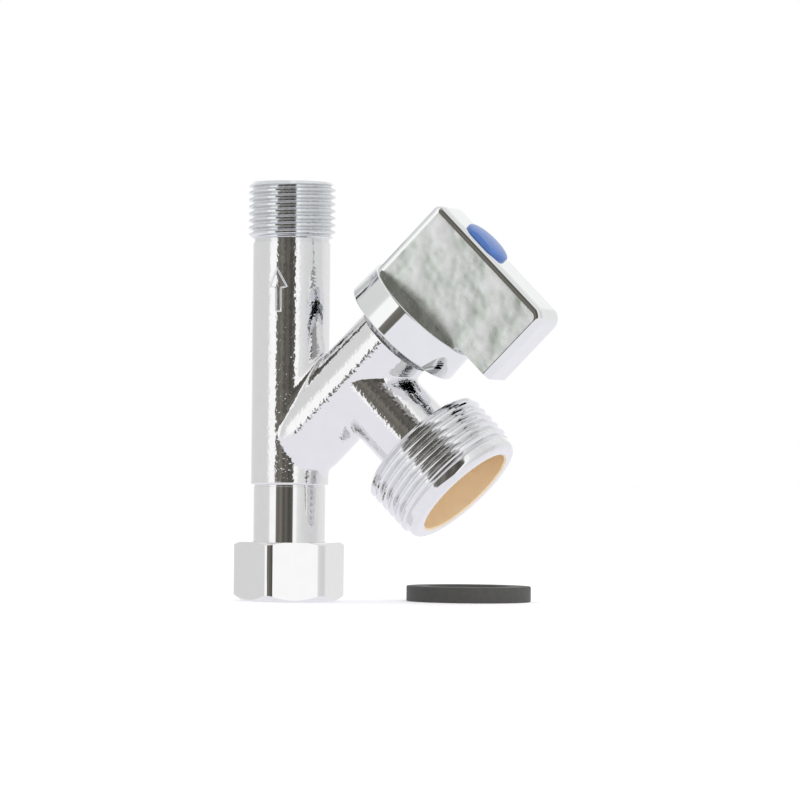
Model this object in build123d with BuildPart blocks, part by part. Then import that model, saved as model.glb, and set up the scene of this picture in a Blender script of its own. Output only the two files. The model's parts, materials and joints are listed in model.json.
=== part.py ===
from build123d import *
import math
import os

os.makedirs("parts", exist_ok=True)

# Appliance tap: an upright through tube with a swivel nut at its foot, a boss that rises
# from it at 45 degrees to a quarter-turn lever, and an outlet branch square to the boss.
# Frame: millimetres, origin at the centre of the swivel nut's lower face, +Z up along the
# through tube, both branches in the XZ plane on the +X side.
# A height along the boss axis is counted from the point where that axis crosses the tube.

# Standard thread sizes, cut as plain cylinders at their major diameters
RUN_THREAD_D = 16.66
OUTLET_THREAD_D = 26.44
BONNET_THREAD_D = 11.9
SCREW_THREAD_D = 4.0
THREAD_PLAY = 0.04
FIT_GAP = 0.05

# How far a cut or a drilled hole runs past what it has to clear
OVERRUN = 1.0

# Through tube
HEIGHT = 80.0
RUN_THREAD_LENGTH = 10.7
THREAD_CHAMFER = 0.7
RELIEF_WIDTH = 0.9
RELIEF_DEPTH = 0.25
TUBE_D = 14.9
TUBE_BORE_D = 10.5
COLLAR_Z = 22.2
TAIL_D = 13.8

# Swivel nut and what keeps it on the tail
NUT_FLATS = 19.0
NUT_HEIGHT = 11.3
NUT_LIP = 2.4
NUT_CORNER_ROUND = 2.2
NUT_FOOT_REACH = 2.0
NUT_FOOT_RISE = 1.3
NUT_TOP_REACH = 1.1
NUT_TOP_RISE = 0.6
NUT_TURN = 30
SLIP_WASHER_T = 0.6
SLIP_WASHER_D = 14.8
RING_T = 1.0
RING_D = 14.8
RING_GROOVE_D = 12.4
RING_MOUTH = 60
TAIL_BELOW_RING = 1.0
INLET_SEAL_D = 14.8
INLET_SEAL_T = 1.6
INLET_SEAL_BORE_D = 11.0

# Boss that carries the headwork
BOSS_ANGLE = 45
CROSSING_ABOVE_COLLAR = 6.0
BOSS_D = 15.8
BOSS_FOOT = 1.5
BOSS_FOOT_ROUND = 6.5
BLEND = 1.2
SEAT_H = 14.8
PORT_D = 6.2
CHAMBER_D = 11.0
CHAMBER_SPARE = 0.2
BONNET_THREAD_LENGTH = 3.4
SEAL_POCKET_DEPTH = 1.1
SEAL_POCKET_D = 12.9

# Outlet branch, square to the boss
SEAT_LAND = 0.4
OUTLET_TUBE_D = 15.4
OUTLET_BORE_D = 10.4
OUTLET_CUP_D = 19.8
OUTLET_CUP_DEPTH = 11.0
OUTLET_CUP_CONE = 30
OUTLET_LENGTH = 30.4
OUTLET_THREAD_LENGTH = 12.7
OUTLET_RING_D = 25.3
OUTLET_RING_LENGTH = 2.2
OUTLET_RING_EDGE = 0.5
OUTLET_MOUTH_EDGE = 0.3

# Headwork inside the boss
BONNET_HEX_FLATS = 14.0
BONNET_HEX_T = 3.2
BONNET_NECK_D = 10.2
BONNET_NECK_T = 2.8
CAGE_D = 10.2
CAGE_BORE_D = 8.9
CAGE_ABOVE_SEAT = 1.2
WINDOW_WIDTH = 6.4
WINDOW_LIFT = 0.2
STEM_D = 7.0
STEM_FLANGE_D = 8.6
STEM_FLANGE_T = 1.2
FRICTION_WASHER_T = 0.4
HEAD_D = 6.8
HEAD_ROOT_D = 6.2
HEAD_TEETH = 20
HEAD_LENGTH = 8.4
CLIP_D = 9.2
CLIP_T = 0.7
CLIP_GROOVE_D = 5.6
CLIP_LIFT = 0.1
CLIP_MOUTH = 80
STEM_SEAL_GROOVE_D = 5.2
STEM_SEAL_SECTION = 0.9
STEM_SEAL_PLAY = 0.2
STEM_SEAL_ABOVE_SHOULDER = (2.8, 6.6)
BONNET_SEAL_SECTION = 1.0
DISC_T = 1.6
MOVING_DISC_D = 8.5
FIXED_DISC_D = 8.8
DISC_PORT_D = 6.2
DISC_PORT_ANGLE = 76
DISC_HUB_D = 1.6
FORK_WIDTH = 1.8
FORK_T = 1.5
FORK_REACH = 3.4
FORK_SLOT_DEPTH = 0.7
LUG_WIDTH = 1.6
SEAT_SEAL_D = 8.8
SEAT_SEAL_BORE_D = 6.4
SEAL_IN_CAGE = 1.4
SUPPORT_RING_T = 0.45
SUPPORT_RING_SHORT = 0.2

# Lever handle: a round hub with a bar across it, longer on the outlet side
HUB_D = 25.0
HUB_ABOVE_BOSS = 2.1
HUB_CONE_RISE = 0.9
HUB_EDGE = 0.4
HUB_DRAFT = 2.5
HUB_RECESS_D = 19.0
HUB_PLATE_T = 2.2
CLIP_HEADROOM = 0.5
BAR_SHORT_ARM = 11.0
BAR_LONG_ARM = 19.8
BAR_T = 10.3
BAR_HEIGHT = 16.4
BAR_NOSE_ROUND = 2.6
BAR_TAIL_ROUND = 1.8
BAR_EDGE_ROUND = 1.6
BAR_WALL = 1.8
BAR_ROOF_T = 2.2
NOSE_ROOF_T = 3.2
CORE_INSET = 0.6
NOSE_WEB_T = 1.0
POST_D = 9.4
POST_SHORT = 0.6
SOCKET_DEPTH = 8.2
SCREW_WEB_T = 5.0
CAP_RECESS_D = 7.5
SCREW_HEAD_D = 7.0
SCREW_HEAD_T = 2.4
SCREW_LENGTH = 12.0
SCREW_SLOT_WIDTH = 1.0
SCREW_SLOT_DEPTH = 1.2
SCREW_PLAY = 0.15
CAP_D = 9.6
CAP_FLATS = 7.8
CAP_RIM_T = 0.5
CAP_DOME = 0.9
CAP_CROWN_D = 2.4
CAP_SHOULDER = 1.4
CAP_SHOULDER_RISE = 0.6
CAP_PLUG_T = 2.0

# Hose washer that comes with the valve and lies beside it
HOSE_WASHER_D = 24.0
HOSE_WASHER_BORE_D = 16.0
HOSE_WASHER_T = 3.0
HOSE_WASHER_X = 29.6
HOSE_WASHER_Y = 19.0

# Heights along the tube that follow from the sizes above
run_thread_z = HEIGHT - RUN_THREAD_LENGTH
nut_lip_z = NUT_HEIGHT - NUT_LIP
ring_top_z = nut_lip_z - SLIP_WASHER_T
ring_foot_z = ring_top_z - RING_T
tail_end_z = ring_foot_z - TAIL_BELOW_RING
inlet_seal_z = tail_end_z - INLET_SEAL_T
crossing_z = COLLAR_Z + CROSSING_ABOVE_COLLAR

# Heights along the boss axis: the outlet clears the seat, and the bonnet's thread the outlet
outlet_h = SEAT_H + SEAT_LAND + OUTLET_BORE_D / 2
chamber_top_h = outlet_h + OUTLET_BORE_D / 2 + CHAMBER_SPARE
seal_pocket_h = chamber_top_h + BONNET_THREAD_LENGTH
boss_end_h = seal_pocket_h + SEAL_POCKET_DEPTH
hex_top_h = boss_end_h + BONNET_HEX_T
neck_top_h = hex_top_h + BONNET_NECK_T

# Disc stack, from the seat up to the spindle's flange
cage_foot_h = SEAT_H + CAGE_ABOVE_SEAT
seat_seal_top_h = cage_foot_h + SEAL_IN_CAGE
fixed_disc_top_h = seat_seal_top_h + DISC_T
moving_disc_top_h = fixed_disc_top_h + DISC_T
flange_foot_h = moving_disc_top_h + FORK_REACH
flange_top_h = flange_foot_h + STEM_FLANGE_T
bonnet_shoulder_h = flange_top_h + FRICTION_WASHER_T

# Handle: the hub's roof clears the spindle's clip, and the bar stands on the hub
clip_foot_h = neck_top_h + CLIP_LIFT
hub_foot_h = boss_end_h + HUB_ABOVE_BOSS
recess_roof_h = clip_foot_h + CLIP_T + CLIP_HEADROOM
hub_shoulder_h = recess_roof_h + HUB_PLATE_T
hub_rim_h = hub_shoulder_h - HUB_CONE_RISE
bar_top_h = hub_shoulder_h + BAR_HEIGHT
post_foot_h = recess_roof_h + POST_SHORT
web_foot_h = post_foot_h + SOCKET_DEPTH
web_top_h = web_foot_h + SCREW_WEB_T
outlet_thread_start = OUTLET_LENGTH - OUTLET_THREAD_LENGTH
outlet_ring_start = OUTLET_LENGTH - OUTLET_RING_LENGTH
outlet_ring_step = (OUTLET_THREAD_D - OUTLET_RING_D) / 2

# Working planes: boss axis, its section plane, and the section plane of the outlet
lean = math.radians(BOSS_ANGLE)
boss_dir = Vector(math.sin(lean), 0, math.cos(lean))
outlet_dir = Vector(math.cos(lean), 0, -math.sin(lean))
crossing = Vector(0, 0, crossing_z)
outlet_root = crossing + boss_dir * outlet_h
boss_plane = Plane(origin=crossing, x_dir=outlet_dir, z_dir=boss_dir)
boss_section = Plane(origin=crossing, x_dir=outlet_dir, z_dir=(0, -1, 0))
outlet_section = Plane(origin=outlet_root, x_dir=boss_dir, z_dir=(0, 1, 0))
boss_axis = Axis(crossing, boss_dir)
outlet_axis = Axis(outlet_root, outlet_dir)


def serration(radius, root_radius):
    """Points of a serrated outline, one tip and one root for each tooth."""
    points = []
    for tooth in range(HEAD_TEETH):
        tip_angle = 360 / HEAD_TEETH * tooth
        root_angle = tip_angle + 180 / HEAD_TEETH
        points.append(Vector(radius, 0).rotate(Axis.Z, tip_angle))
        points.append(Vector(root_radius, 0).rotate(Axis.Z, root_angle))
    return points


# Valve body: one forging. The tube is turned, the boss and the outlet are blended into it.
with BuildPart() as valve_body:
    with BuildSketch(Plane.XZ):
        with BuildLine():
            Polyline(
                (0, tail_end_z),
                (TAIL_D / 2, tail_end_z),
                (TAIL_D / 2, COLLAR_Z),
                (TUBE_D / 2, COLLAR_Z),
                (TUBE_D / 2, run_thread_z - RELIEF_WIDTH),
                (TUBE_D / 2 - RELIEF_DEPTH, run_thread_z - RELIEF_WIDTH),
                (TUBE_D / 2 - RELIEF_DEPTH, run_thread_z),
                (RUN_THREAD_D / 2 - THREAD_CHAMFER, run_thread_z),
                (RUN_THREAD_D / 2, run_thread_z + THREAD_CHAMFER),
                (RUN_THREAD_D / 2, HEIGHT - THREAD_CHAMFER),
                (RUN_THREAD_D / 2 - THREAD_CHAMFER, HEIGHT),
                (0, HEIGHT),
                close=True,
            )
        make_face()
    revolve(axis=Axis.Z)

    # Boss, with a round foot that stands a little proud of the tube's wall
    with BuildSketch(boss_section):
        with BuildLine():
            foot = Polyline((0, boss_end_h), (0, -BOSS_FOOT), (BOSS_D / 2 - BOSS_FOOT_ROUND, -BOSS_FOOT))
            nose = RadiusArc(
                foot @ 1, (BOSS_D / 2, BOSS_FOOT_ROUND - BOSS_FOOT), -BOSS_FOOT_ROUND
            )
            Polyline(nose @ 1, (BOSS_D / 2, boss_end_h), (0, boss_end_h))
        make_face()
    revolve(axis=boss_axis)

    # Outlet branch: a plain tube that steps out to the hose thread and its plain leading ring
    with BuildSketch(outlet_section):
        with BuildLine():
            Polyline(
                (0, 0),
                (OUTLET_TUBE_D / 2, 0),
                (OUTLET_TUBE_D / 2, outlet_thread_start),
                (OUTLET_THREAD_D / 2 - THREAD_CHAMFER, outlet_thread_start),
                (OUTLET_THREAD_D / 2, outlet_thread_start + THREAD_CHAMFER),
                (OUTLET_THREAD_D / 2, outlet_ring_start - outlet_ring_step),
                (OUTLET_RING_D / 2, outlet_ring_start),
                (OUTLET_RING_D / 2, OUTLET_LENGTH - OUTLET_RING_EDGE),
                (OUTLET_RING_D / 2 - OUTLET_RING_EDGE, OUTLET_LENGTH),
                (0, OUTLET_LENGTH),
                close=True,
            )
        make_face()
    revolve(axis=outlet_axis)

    # Blends of the forging, where tube, boss and outlet meet
    seams = valve_body.edges().filter_by(lambda edge: edge.geom_type not in (GeomType.CIRCLE, GeomType.LINE))
    fillet(seams, BLEND)

    # Groove for the retaining ring, cut into the turned tail
    with BuildSketch(Plane.XY.offset(ring_foot_z)):
        Circle(TAIL_D / 2 + OVERRUN)
        Circle(RING_GROOVE_D / 2, mode=Mode.SUBTRACT)
    extrude(amount=RING_T, mode=Mode.SUBTRACT)

    # Bore of the through tube
    with BuildSketch(Plane.XY):
        Circle(TUBE_BORE_D / 2)
    extrude(amount=HEIGHT, mode=Mode.SUBTRACT)

    # Port, seat, chamber and bonnet thread along the boss axis
    with BuildSketch(boss_section):
        with BuildLine():
            Polyline(
                (0, 0),
                (PORT_D / 2, 0),
                (PORT_D / 2, SEAT_H),
                (CHAMBER_D / 2, SEAT_H),
                (CHAMBER_D / 2, chamber_top_h),
                (BONNET_THREAD_D / 2 + FIT_GAP, chamber_top_h),
                (BONNET_THREAD_D / 2 + FIT_GAP, seal_pocket_h),
                (SEAL_POCKET_D / 2, seal_pocket_h),
                (SEAL_POCKET_D / 2, boss_end_h),
                (0, boss_end_h),
                close=True,
            )
        make_face()
    revolve(axis=boss_axis, mode=Mode.SUBTRACT)

    # Outlet bore, opening into a wide cup behind the hose thread
    cup_floor = OUTLET_LENGTH - OUTLET_CUP_DEPTH
    cup_cone = (OUTLET_CUP_D - OUTLET_BORE_D) / 2 * math.tan(math.radians(OUTLET_CUP_CONE))
    with BuildSketch(outlet_section):
        with BuildLine():
            Polyline(
                (0, 0),
                (OUTLET_BORE_D / 2, 0),
                (OUTLET_BORE_D / 2, cup_floor - cup_cone),
                (OUTLET_CUP_D / 2, cup_floor),
                (OUTLET_CUP_D / 2, OUTLET_LENGTH - OUTLET_MOUTH_EDGE),
                (OUTLET_CUP_D / 2 + OUTLET_MOUTH_EDGE, OUTLET_LENGTH),
                (0, OUTLET_LENGTH),
                close=True,
            )
        make_face()
    revolve(axis=outlet_axis, mode=Mode.SUBTRACT)

valve_body.part.label = "valve_body"
export_step(valve_body.part, "parts/valve_body.step")

# Swivel nut: hexagon with rounded corners, turned off by a cone at both ends, with an inner lip.
# Both cones run on past the corners by as much again, so that they cut every corner clean.
nut_corner_r = NUT_FLATS / math.sqrt(3)
with BuildPart() as swivel_nut:
    with BuildSketch():
        RegularPolygon(NUT_FLATS / 2, 6, major_radius=False, rotation=NUT_TURN)
        fillet(vertices(), NUT_CORNER_ROUND)
    extrude(amount=NUT_HEIGHT)
    with BuildSketch(Plane.XZ):
        with BuildLine():
            Polyline(
                (0, 0),
                (nut_corner_r - NUT_FOOT_REACH, 0),
                (nut_corner_r + NUT_FOOT_REACH, 2 * NUT_FOOT_RISE),
                (nut_corner_r + NUT_TOP_REACH, NUT_HEIGHT - 2 * NUT_TOP_RISE),
                (nut_corner_r - NUT_TOP_REACH, NUT_HEIGHT),
                (0, NUT_HEIGHT),
                close=True,
            )
        make_face()
    revolve(axis=Axis.Z, mode=Mode.INTERSECT)
    with BuildSketch():
        Circle(RUN_THREAD_D / 2 + THREAD_PLAY)
    extrude(amount=inlet_seal_z, mode=Mode.SUBTRACT)
    # Relief above the thread, which holds the seal, the ring and the slip washer
    with BuildSketch(Plane.XY.offset(inlet_seal_z)):
        Circle(RUN_THREAD_D / 2 + THREAD_PLAY + RELIEF_DEPTH)
    extrude(amount=nut_lip_z - inlet_seal_z, mode=Mode.SUBTRACT)
    with BuildSketch():
        Circle(TAIL_D / 2 + FIT_GAP)
    extrude(amount=NUT_HEIGHT, mode=Mode.SUBTRACT)

swivel_nut.part.label = "swivel_nut"
export_step(swivel_nut.part, "parts/swivel_nut.step")

with BuildPart() as slip_washer:
    with BuildSketch(Plane.XY.offset(ring_top_z)):
        Circle(SLIP_WASHER_D / 2)
        Circle(TAIL_D / 2 + FIT_GAP, mode=Mode.SUBTRACT)
    extrude(amount=SLIP_WASHER_T)

slip_washer.part.label = "slip_washer"
export_step(slip_washer.part, "parts/slip_washer.step")

# Retaining ring: flat spring ring with a mouth, sprung into the tail's groove
with BuildPart() as retaining_ring:
    with BuildSketch(Plane.XY.offset(ring_foot_z)):
        Circle(RING_D / 2)
        Circle(RING_GROOVE_D / 2, mode=Mode.SUBTRACT)
        with BuildLine():
            reach = RING_D
            half_mouth = math.radians(RING_MOUTH / 2)
            Polyline(
                (0, 0),
                (-reach * math.cos(half_mouth), reach * math.sin(half_mouth)),
                (-reach * math.cos(half_mouth), -reach * math.sin(half_mouth)),
                close=True,
            )
        make_face(mode=Mode.SUBTRACT)
    extrude(amount=RING_T)

retaining_ring.part.label = "retaining_ring"
export_step(retaining_ring.part, "parts/retaining_ring.step")

with BuildPart() as inlet_seal:
    with BuildSketch(Plane.XY.offset(inlet_seal_z)):
        Circle(INLET_SEAL_D / 2)
        Circle(INLET_SEAL_BORE_D / 2, mode=Mode.SUBTRACT)
    extrude(amount=INLET_SEAL_T)

inlet_seal.part.label = "inlet_seal"
export_step(inlet_seal.part, "parts/inlet_seal.step")

# Bonnet: hexagon head on the boss's end, thread, and a windowed cage for the discs
bonnet_seal_r = SEAL_POCKET_D / 2 - FIT_GAP - BONNET_SEAL_SECTION
with BuildPart() as bonnet:
    with BuildSketch(boss_section):
        with BuildLine():
            Polyline(
                (CAGE_BORE_D / 2, cage_foot_h),
                (CAGE_D / 2, cage_foot_h),
                (CAGE_D / 2, chamber_top_h),
                (BONNET_THREAD_D / 2, chamber_top_h),
                (BONNET_THREAD_D / 2, seal_pocket_h),
                (bonnet_seal_r, seal_pocket_h),
                (bonnet_seal_r, hex_top_h),
                (BONNET_NECK_D / 2, hex_top_h),
                (BONNET_NECK_D / 2, neck_top_h),
                (STEM_D / 2 + FIT_GAP, neck_top_h),
                (STEM_D / 2 + FIT_GAP, bonnet_shoulder_h),
                (CAGE_BORE_D / 2, bonnet_shoulder_h),
                close=True,
            )
        make_face()
    revolve(axis=boss_axis)
    with BuildSketch(boss_plane.offset(boss_end_h)):
        RegularPolygon(BONNET_HEX_FLATS / 2, 6, major_radius=False)
        Circle(STEM_D / 2 + FIT_GAP, mode=Mode.SUBTRACT)
    extrude(amount=BONNET_HEX_T)
    # Windows face the outlet and away from it
    with BuildSketch(boss_plane.offset(moving_disc_top_h + WINDOW_LIFT)):
        Rectangle(CAGE_D + OVERRUN, WINDOW_WIDTH)
    extrude(amount=FORK_REACH, mode=Mode.SUBTRACT)
    # Keyways for the fixed disc's lugs
    with BuildSketch(boss_plane.offset(cage_foot_h)):
        Rectangle(LUG_WIDTH + 2 * FIT_GAP, CAGE_D + OVERRUN)
    extrude(amount=fixed_disc_top_h - cage_foot_h, mode=Mode.SUBTRACT)

bonnet.part.label = "bonnet"
export_step(bonnet.part, "parts/bonnet.step")

with BuildPart(boss_plane.offset(seal_pocket_h + SEAL_POCKET_DEPTH / 2)) as bonnet_o_ring:
    Torus(bonnet_seal_r + BONNET_SEAL_SECTION / 2, BONNET_SEAL_SECTION / 2 - FIT_GAP / 2)

bonnet_o_ring.part.label = "bonnet_o_ring"
export_step(bonnet_o_ring.part, "parts/bonnet_o_ring.step")

# Spindle: fork, flange, stem with two seal grooves, clip groove and serrated head
head_foot_h = web_foot_h - HEAD_LENGTH
fork_foot_h = moving_disc_top_h - FORK_SLOT_DEPTH
stem_groove_t = STEM_SEAL_SECTION + STEM_SEAL_PLAY
stem_seal_heights = [bonnet_shoulder_h + rise for rise in STEM_SEAL_ABOVE_SHOULDER]
with BuildPart() as spindle:
    with BuildSketch(boss_plane.offset(flange_foot_h)):
        Circle(STEM_FLANGE_D / 2)
    extrude(amount=STEM_FLANGE_T)
    with BuildSketch(boss_plane.offset(flange_foot_h)):
        Circle(STEM_D / 2)
    extrude(amount=head_foot_h - flange_foot_h)
    with BuildSketch(boss_plane.offset(head_foot_h)):
        with BuildLine():
            Polyline(*serration(HEAD_D / 2, HEAD_ROOT_D / 2), close=True)
        make_face()
    extrude(amount=HEAD_LENGTH)
    for groove_h in stem_seal_heights:
        with BuildSketch(boss_plane.offset(groove_h - stem_groove_t / 2)):
            Circle(STEM_D / 2 + OVERRUN)
            Circle(STEM_SEAL_GROOVE_D / 2, mode=Mode.SUBTRACT)
        extrude(amount=stem_groove_t, mode=Mode.SUBTRACT)
    with BuildSketch(boss_plane.offset(clip_foot_h)):
        Circle(STEM_D / 2 + OVERRUN)
        Circle(CLIP_GROOVE_D / 2, mode=Mode.SUBTRACT)
    extrude(amount=CLIP_T, mode=Mode.SUBTRACT)
    # Fork legs stand either side of the port's centre line, across the outlet direction
    fork_y = MOVING_DISC_D / 2 - FORK_T
    with BuildSketch(boss_plane.offset(fork_foot_h)):
        with Locations((0, fork_y), (0, -fork_y)):
            Rectangle(FORK_WIDTH, FORK_T)
    extrude(amount=flange_foot_h - fork_foot_h)
    with BuildSketch(boss_plane.offset(web_foot_h)):
        Circle(SCREW_THREAD_D / 2 + FIT_GAP)
    extrude(amount=-(SCREW_LENGTH - SCREW_WEB_T + OVERRUN), mode=Mode.SUBTRACT)

spindle.part.label = "spindle"
export_step(spindle.part, "parts/spindle.step")

stem_seal_r = STEM_SEAL_GROOVE_D / 2 + STEM_SEAL_SECTION / 2
with BuildPart(boss_plane.offset(stem_seal_heights[0])) as spindle_o_ring_lower:
    Torus(stem_seal_r, STEM_SEAL_SECTION / 2 - FIT_GAP / 2)

spindle_o_ring_lower.part.label = "spindle_o_ring_lower"
export_step(spindle_o_ring_lower.part, "parts/spindle_o_ring_lower.step")

with BuildPart(boss_plane.offset(stem_seal_heights[1])) as spindle_o_ring_upper:
    Torus(stem_seal_r, STEM_SEAL_SECTION / 2 - FIT_GAP / 2)

spindle_o_ring_upper.part.label = "spindle_o_ring_upper"
export_step(spindle_o_ring_upper.part, "parts/spindle_o_ring_upper.step")

with BuildPart() as friction_washer:
    with BuildSketch(boss_plane.offset(flange_top_h)):
        Circle(CAGE_BORE_D / 2 - FIT_GAP)
        Circle(STEM_D / 2 + FIT_GAP, mode=Mode.SUBTRACT)
    extrude(amount=FRICTION_WASHER_T)

friction_washer.part.label = "friction_washer"
export_step(friction_washer.part, "parts/friction_washer.step")

with BuildPart() as spindle_clip:
    with BuildSketch(boss_plane.offset(clip_foot_h)):
        Circle(CLIP_D / 2)
        Circle(CLIP_GROOVE_D / 2, mode=Mode.SUBTRACT)
        with BuildLine():
            half_mouth = math.radians(CLIP_MOUTH / 2)
            Polyline(
                (0, 0),
                (-CLIP_D * math.cos(half_mouth), CLIP_D * math.sin(half_mouth)),
                (-CLIP_D * math.cos(half_mouth), -CLIP_D * math.sin(half_mouth)),
                close=True,
            )
        make_face(mode=Mode.SUBTRACT)
    extrude(amount=CLIP_T)

spindle_clip.part.label = "spindle_clip"
export_step(spindle_clip.part, "parts/spindle_clip.step")


def port_sector(side):
    """Outline of one fan-shaped port, to the given side of the disc's centre."""
    half_angle = math.radians(DISC_PORT_ANGLE / 2)
    inner = DISC_HUB_D / 2
    outer = DISC_PORT_D / 2
    points = []
    for radius, sweep in ((inner, -1), (outer, -1)):
        points.append((side * radius * math.cos(half_angle), sweep * radius * math.sin(half_angle)))
    points.append((side * outer, 0))
    for radius in (outer, inner):
        points.append((side * radius * math.cos(half_angle), radius * math.sin(half_angle)))
    return points


# Ceramic discs with two fan-shaped ports each, in line while the valve is open
with BuildPart() as moving_disc:
    with BuildSketch(boss_plane.offset(fixed_disc_top_h)):
        Circle(MOVING_DISC_D / 2)
        for side in (1, -1):
            inner_low, outer_low, outer_mid, outer_high, inner_high = port_sector(side)
            with BuildLine():
                Line(inner_low, outer_low)
                ThreePointArc(outer_low, outer_mid, outer_high)
                Line(outer_high, inner_high)
                Line(inner_high, inner_low)
            make_face(mode=Mode.SUBTRACT)
    extrude(amount=DISC_T)
    with BuildSketch(boss_plane.offset(moving_disc_top_h)):
        with Locations((0, fork_y), (0, -fork_y)):
            Rectangle(FORK_WIDTH + 2 * FIT_GAP, FORK_T + 2 * FIT_GAP)
    extrude(amount=-FORK_SLOT_DEPTH, mode=Mode.SUBTRACT)

moving_disc.part.label = "moving_disc"
export_step(moving_disc.part, "parts/moving_disc.step")

with BuildPart() as fixed_disc:
    with BuildSketch(boss_plane.offset(seat_seal_top_h)):
        Circle(FIXED_DISC_D / 2)
        Rectangle(LUG_WIDTH, CAGE_D)
        for side in (1, -1):
            inner_low, outer_low, outer_mid, outer_high, inner_high = port_sector(side)
            with BuildLine():
                Line(inner_low, outer_low)
                ThreePointArc(outer_low, outer_mid, outer_high)
                Line(outer_high, inner_high)
                Line(inner_high, inner_low)
            make_face(mode=Mode.SUBTRACT)
    extrude(amount=DISC_T)

fixed_disc.part.label = "fixed_disc"
export_step(fixed_disc.part, "parts/fixed_disc.step")

with BuildPart() as seat_seal:
    with BuildSketch(boss_plane.offset(SEAT_H)):
        Circle(SEAT_SEAL_D / 2)
        Circle(SEAT_SEAL_BORE_D / 2, mode=Mode.SUBTRACT)
    extrude(amount=seat_seal_top_h - SEAT_H)

seat_seal.part.label = "seat_seal"
export_step(seat_seal.part, "parts/seat_seal.step")

with BuildPart() as seal_support_ring:
    with BuildSketch(boss_plane.offset(SEAT_H + SUPPORT_RING_SHORT)):
        Circle(SEAT_SEAL_BORE_D / 2 - FIT_GAP)
        Circle(SEAT_SEAL_BORE_D / 2 - FIT_GAP - SUPPORT_RING_T, mode=Mode.SUBTRACT)
    extrude(amount=seat_seal_top_h - SEAT_H - 2 * SUPPORT_RING_SHORT)

seal_support_ring.part.label = "seal_support_ring"
export_step(seal_support_ring.part, "parts/seal_support_ring.step")

# Lever handle: die-cast hub and bar, cored from below round a socketed post
bar_root_h = hub_rim_h - HUB_EDGE
hub_wall_height = bar_root_h - HUB_EDGE - hub_foot_h
hub_rim_r = HUB_D / 2 - hub_wall_height * math.tan(math.radians(HUB_DRAFT))
core_reach = HUB_RECESS_D / 2 - CORE_INSET
with BuildPart() as handle:
    # Side view of the bar; between its two arms a root runs down into the hub
    with BuildSketch(boss_section):
        with BuildLine():
            Polyline(
                (-BAR_SHORT_ARM, bar_root_h),
                (BAR_SHORT_ARM, bar_root_h),
                (BAR_SHORT_ARM, hub_shoulder_h),
                (BAR_LONG_ARM, hub_shoulder_h),
                (BAR_LONG_ARM, bar_top_h),
                (-BAR_SHORT_ARM, bar_top_h),
                close=True,
            )
        make_face()
        nose_corner = vertices().group_by(Axis.Y)[-1].sort_by(Axis.X)[-1]
        fillet(nose_corner, BAR_NOSE_ROUND)
        tail_corner = vertices().group_by(Axis.Y)[-1].sort_by(Axis.X)[0]
        fillet(tail_corner, BAR_TAIL_ROUND)
    extrude(amount=BAR_T / 2, both=True)
    # The three lowest groups of edges, of root and underside, stay sharp
    side_edges = faces().filter_by(Axis.Y).edges().group_by(boss_axis)
    fillet([edge for group in side_edges[3:] for edge in group], BAR_EDGE_ROUND)

    # Hub, drawn in a little towards its rim so that it leaves the die
    with BuildSketch(boss_section):
        with BuildLine():
            Polyline(
                (0, hub_foot_h),
                (HUB_D / 2 - HUB_EDGE, hub_foot_h),
                (HUB_D / 2, hub_foot_h + HUB_EDGE),
                (hub_rim_r, hub_rim_h - HUB_EDGE),
                (hub_rim_r - HUB_EDGE, hub_rim_h),
                (BAR_T / 2, hub_shoulder_h),
                (0, hub_shoulder_h),
                close=True,
            )
        make_face()
    revolve(axis=boss_axis)

    # Recess over the bonnet's hexagon
    with BuildSketch(boss_plane.offset(hub_foot_h)):
        Circle(HUB_RECESS_D / 2)
    extrude(amount=recess_roof_h - hub_foot_h, mode=Mode.SUBTRACT)

    # Core above the recess, round the post
    with BuildSketch(boss_plane.offset(recess_roof_h)):
        Rectangle(2 * core_reach, BAR_T - 2 * BAR_WALL)
        Circle(POST_D / 2, mode=Mode.SUBTRACT)
    extrude(amount=bar_top_h - BAR_ROOF_T - recess_roof_h, mode=Mode.SUBTRACT)

    # Core of the nose, open at the bar's underside beyond the hub
    nose_core_start = HUB_D / 2 + NOSE_WEB_T
    nose_core_end = BAR_LONG_ARM - BAR_ROOF_T
    with BuildSketch(boss_plane.offset(hub_shoulder_h)):
        with Locations(((nose_core_start + nose_core_end) / 2, 0)):
            Rectangle(nose_core_end - nose_core_start, BAR_T - 2 * BAR_WALL)
    extrude(amount=BAR_HEIGHT - NOSE_ROOF_T, mode=Mode.SUBTRACT)

    # Serrated socket, screw hole and cap recess down the post
    with BuildSketch(boss_plane.offset(recess_roof_h)):
        Circle(POST_D / 2 + FIT_GAP)
    extrude(amount=post_foot_h - recess_roof_h, mode=Mode.SUBTRACT)
    with BuildSketch(boss_plane.offset(post_foot_h)):
        with BuildLine():
            Polyline(*serration(HEAD_D / 2 + FIT_GAP, HEAD_ROOT_D / 2 + FIT_GAP), close=True)
        make_face()
    extrude(amount=SOCKET_DEPTH, mode=Mode.SUBTRACT)
    with BuildSketch(boss_plane.offset(web_foot_h)):
        Circle(SCREW_THREAD_D / 2 + SCREW_PLAY)
    extrude(amount=SCREW_WEB_T, mode=Mode.SUBTRACT)
    with BuildSketch(boss_plane.offset(web_top_h)):
        Circle(CAP_RECESS_D / 2)
    extrude(amount=bar_top_h - web_top_h, mode=Mode.SUBTRACT)

handle.part.label = "handle"
export_step(handle.part, "parts/handle.step")

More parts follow.
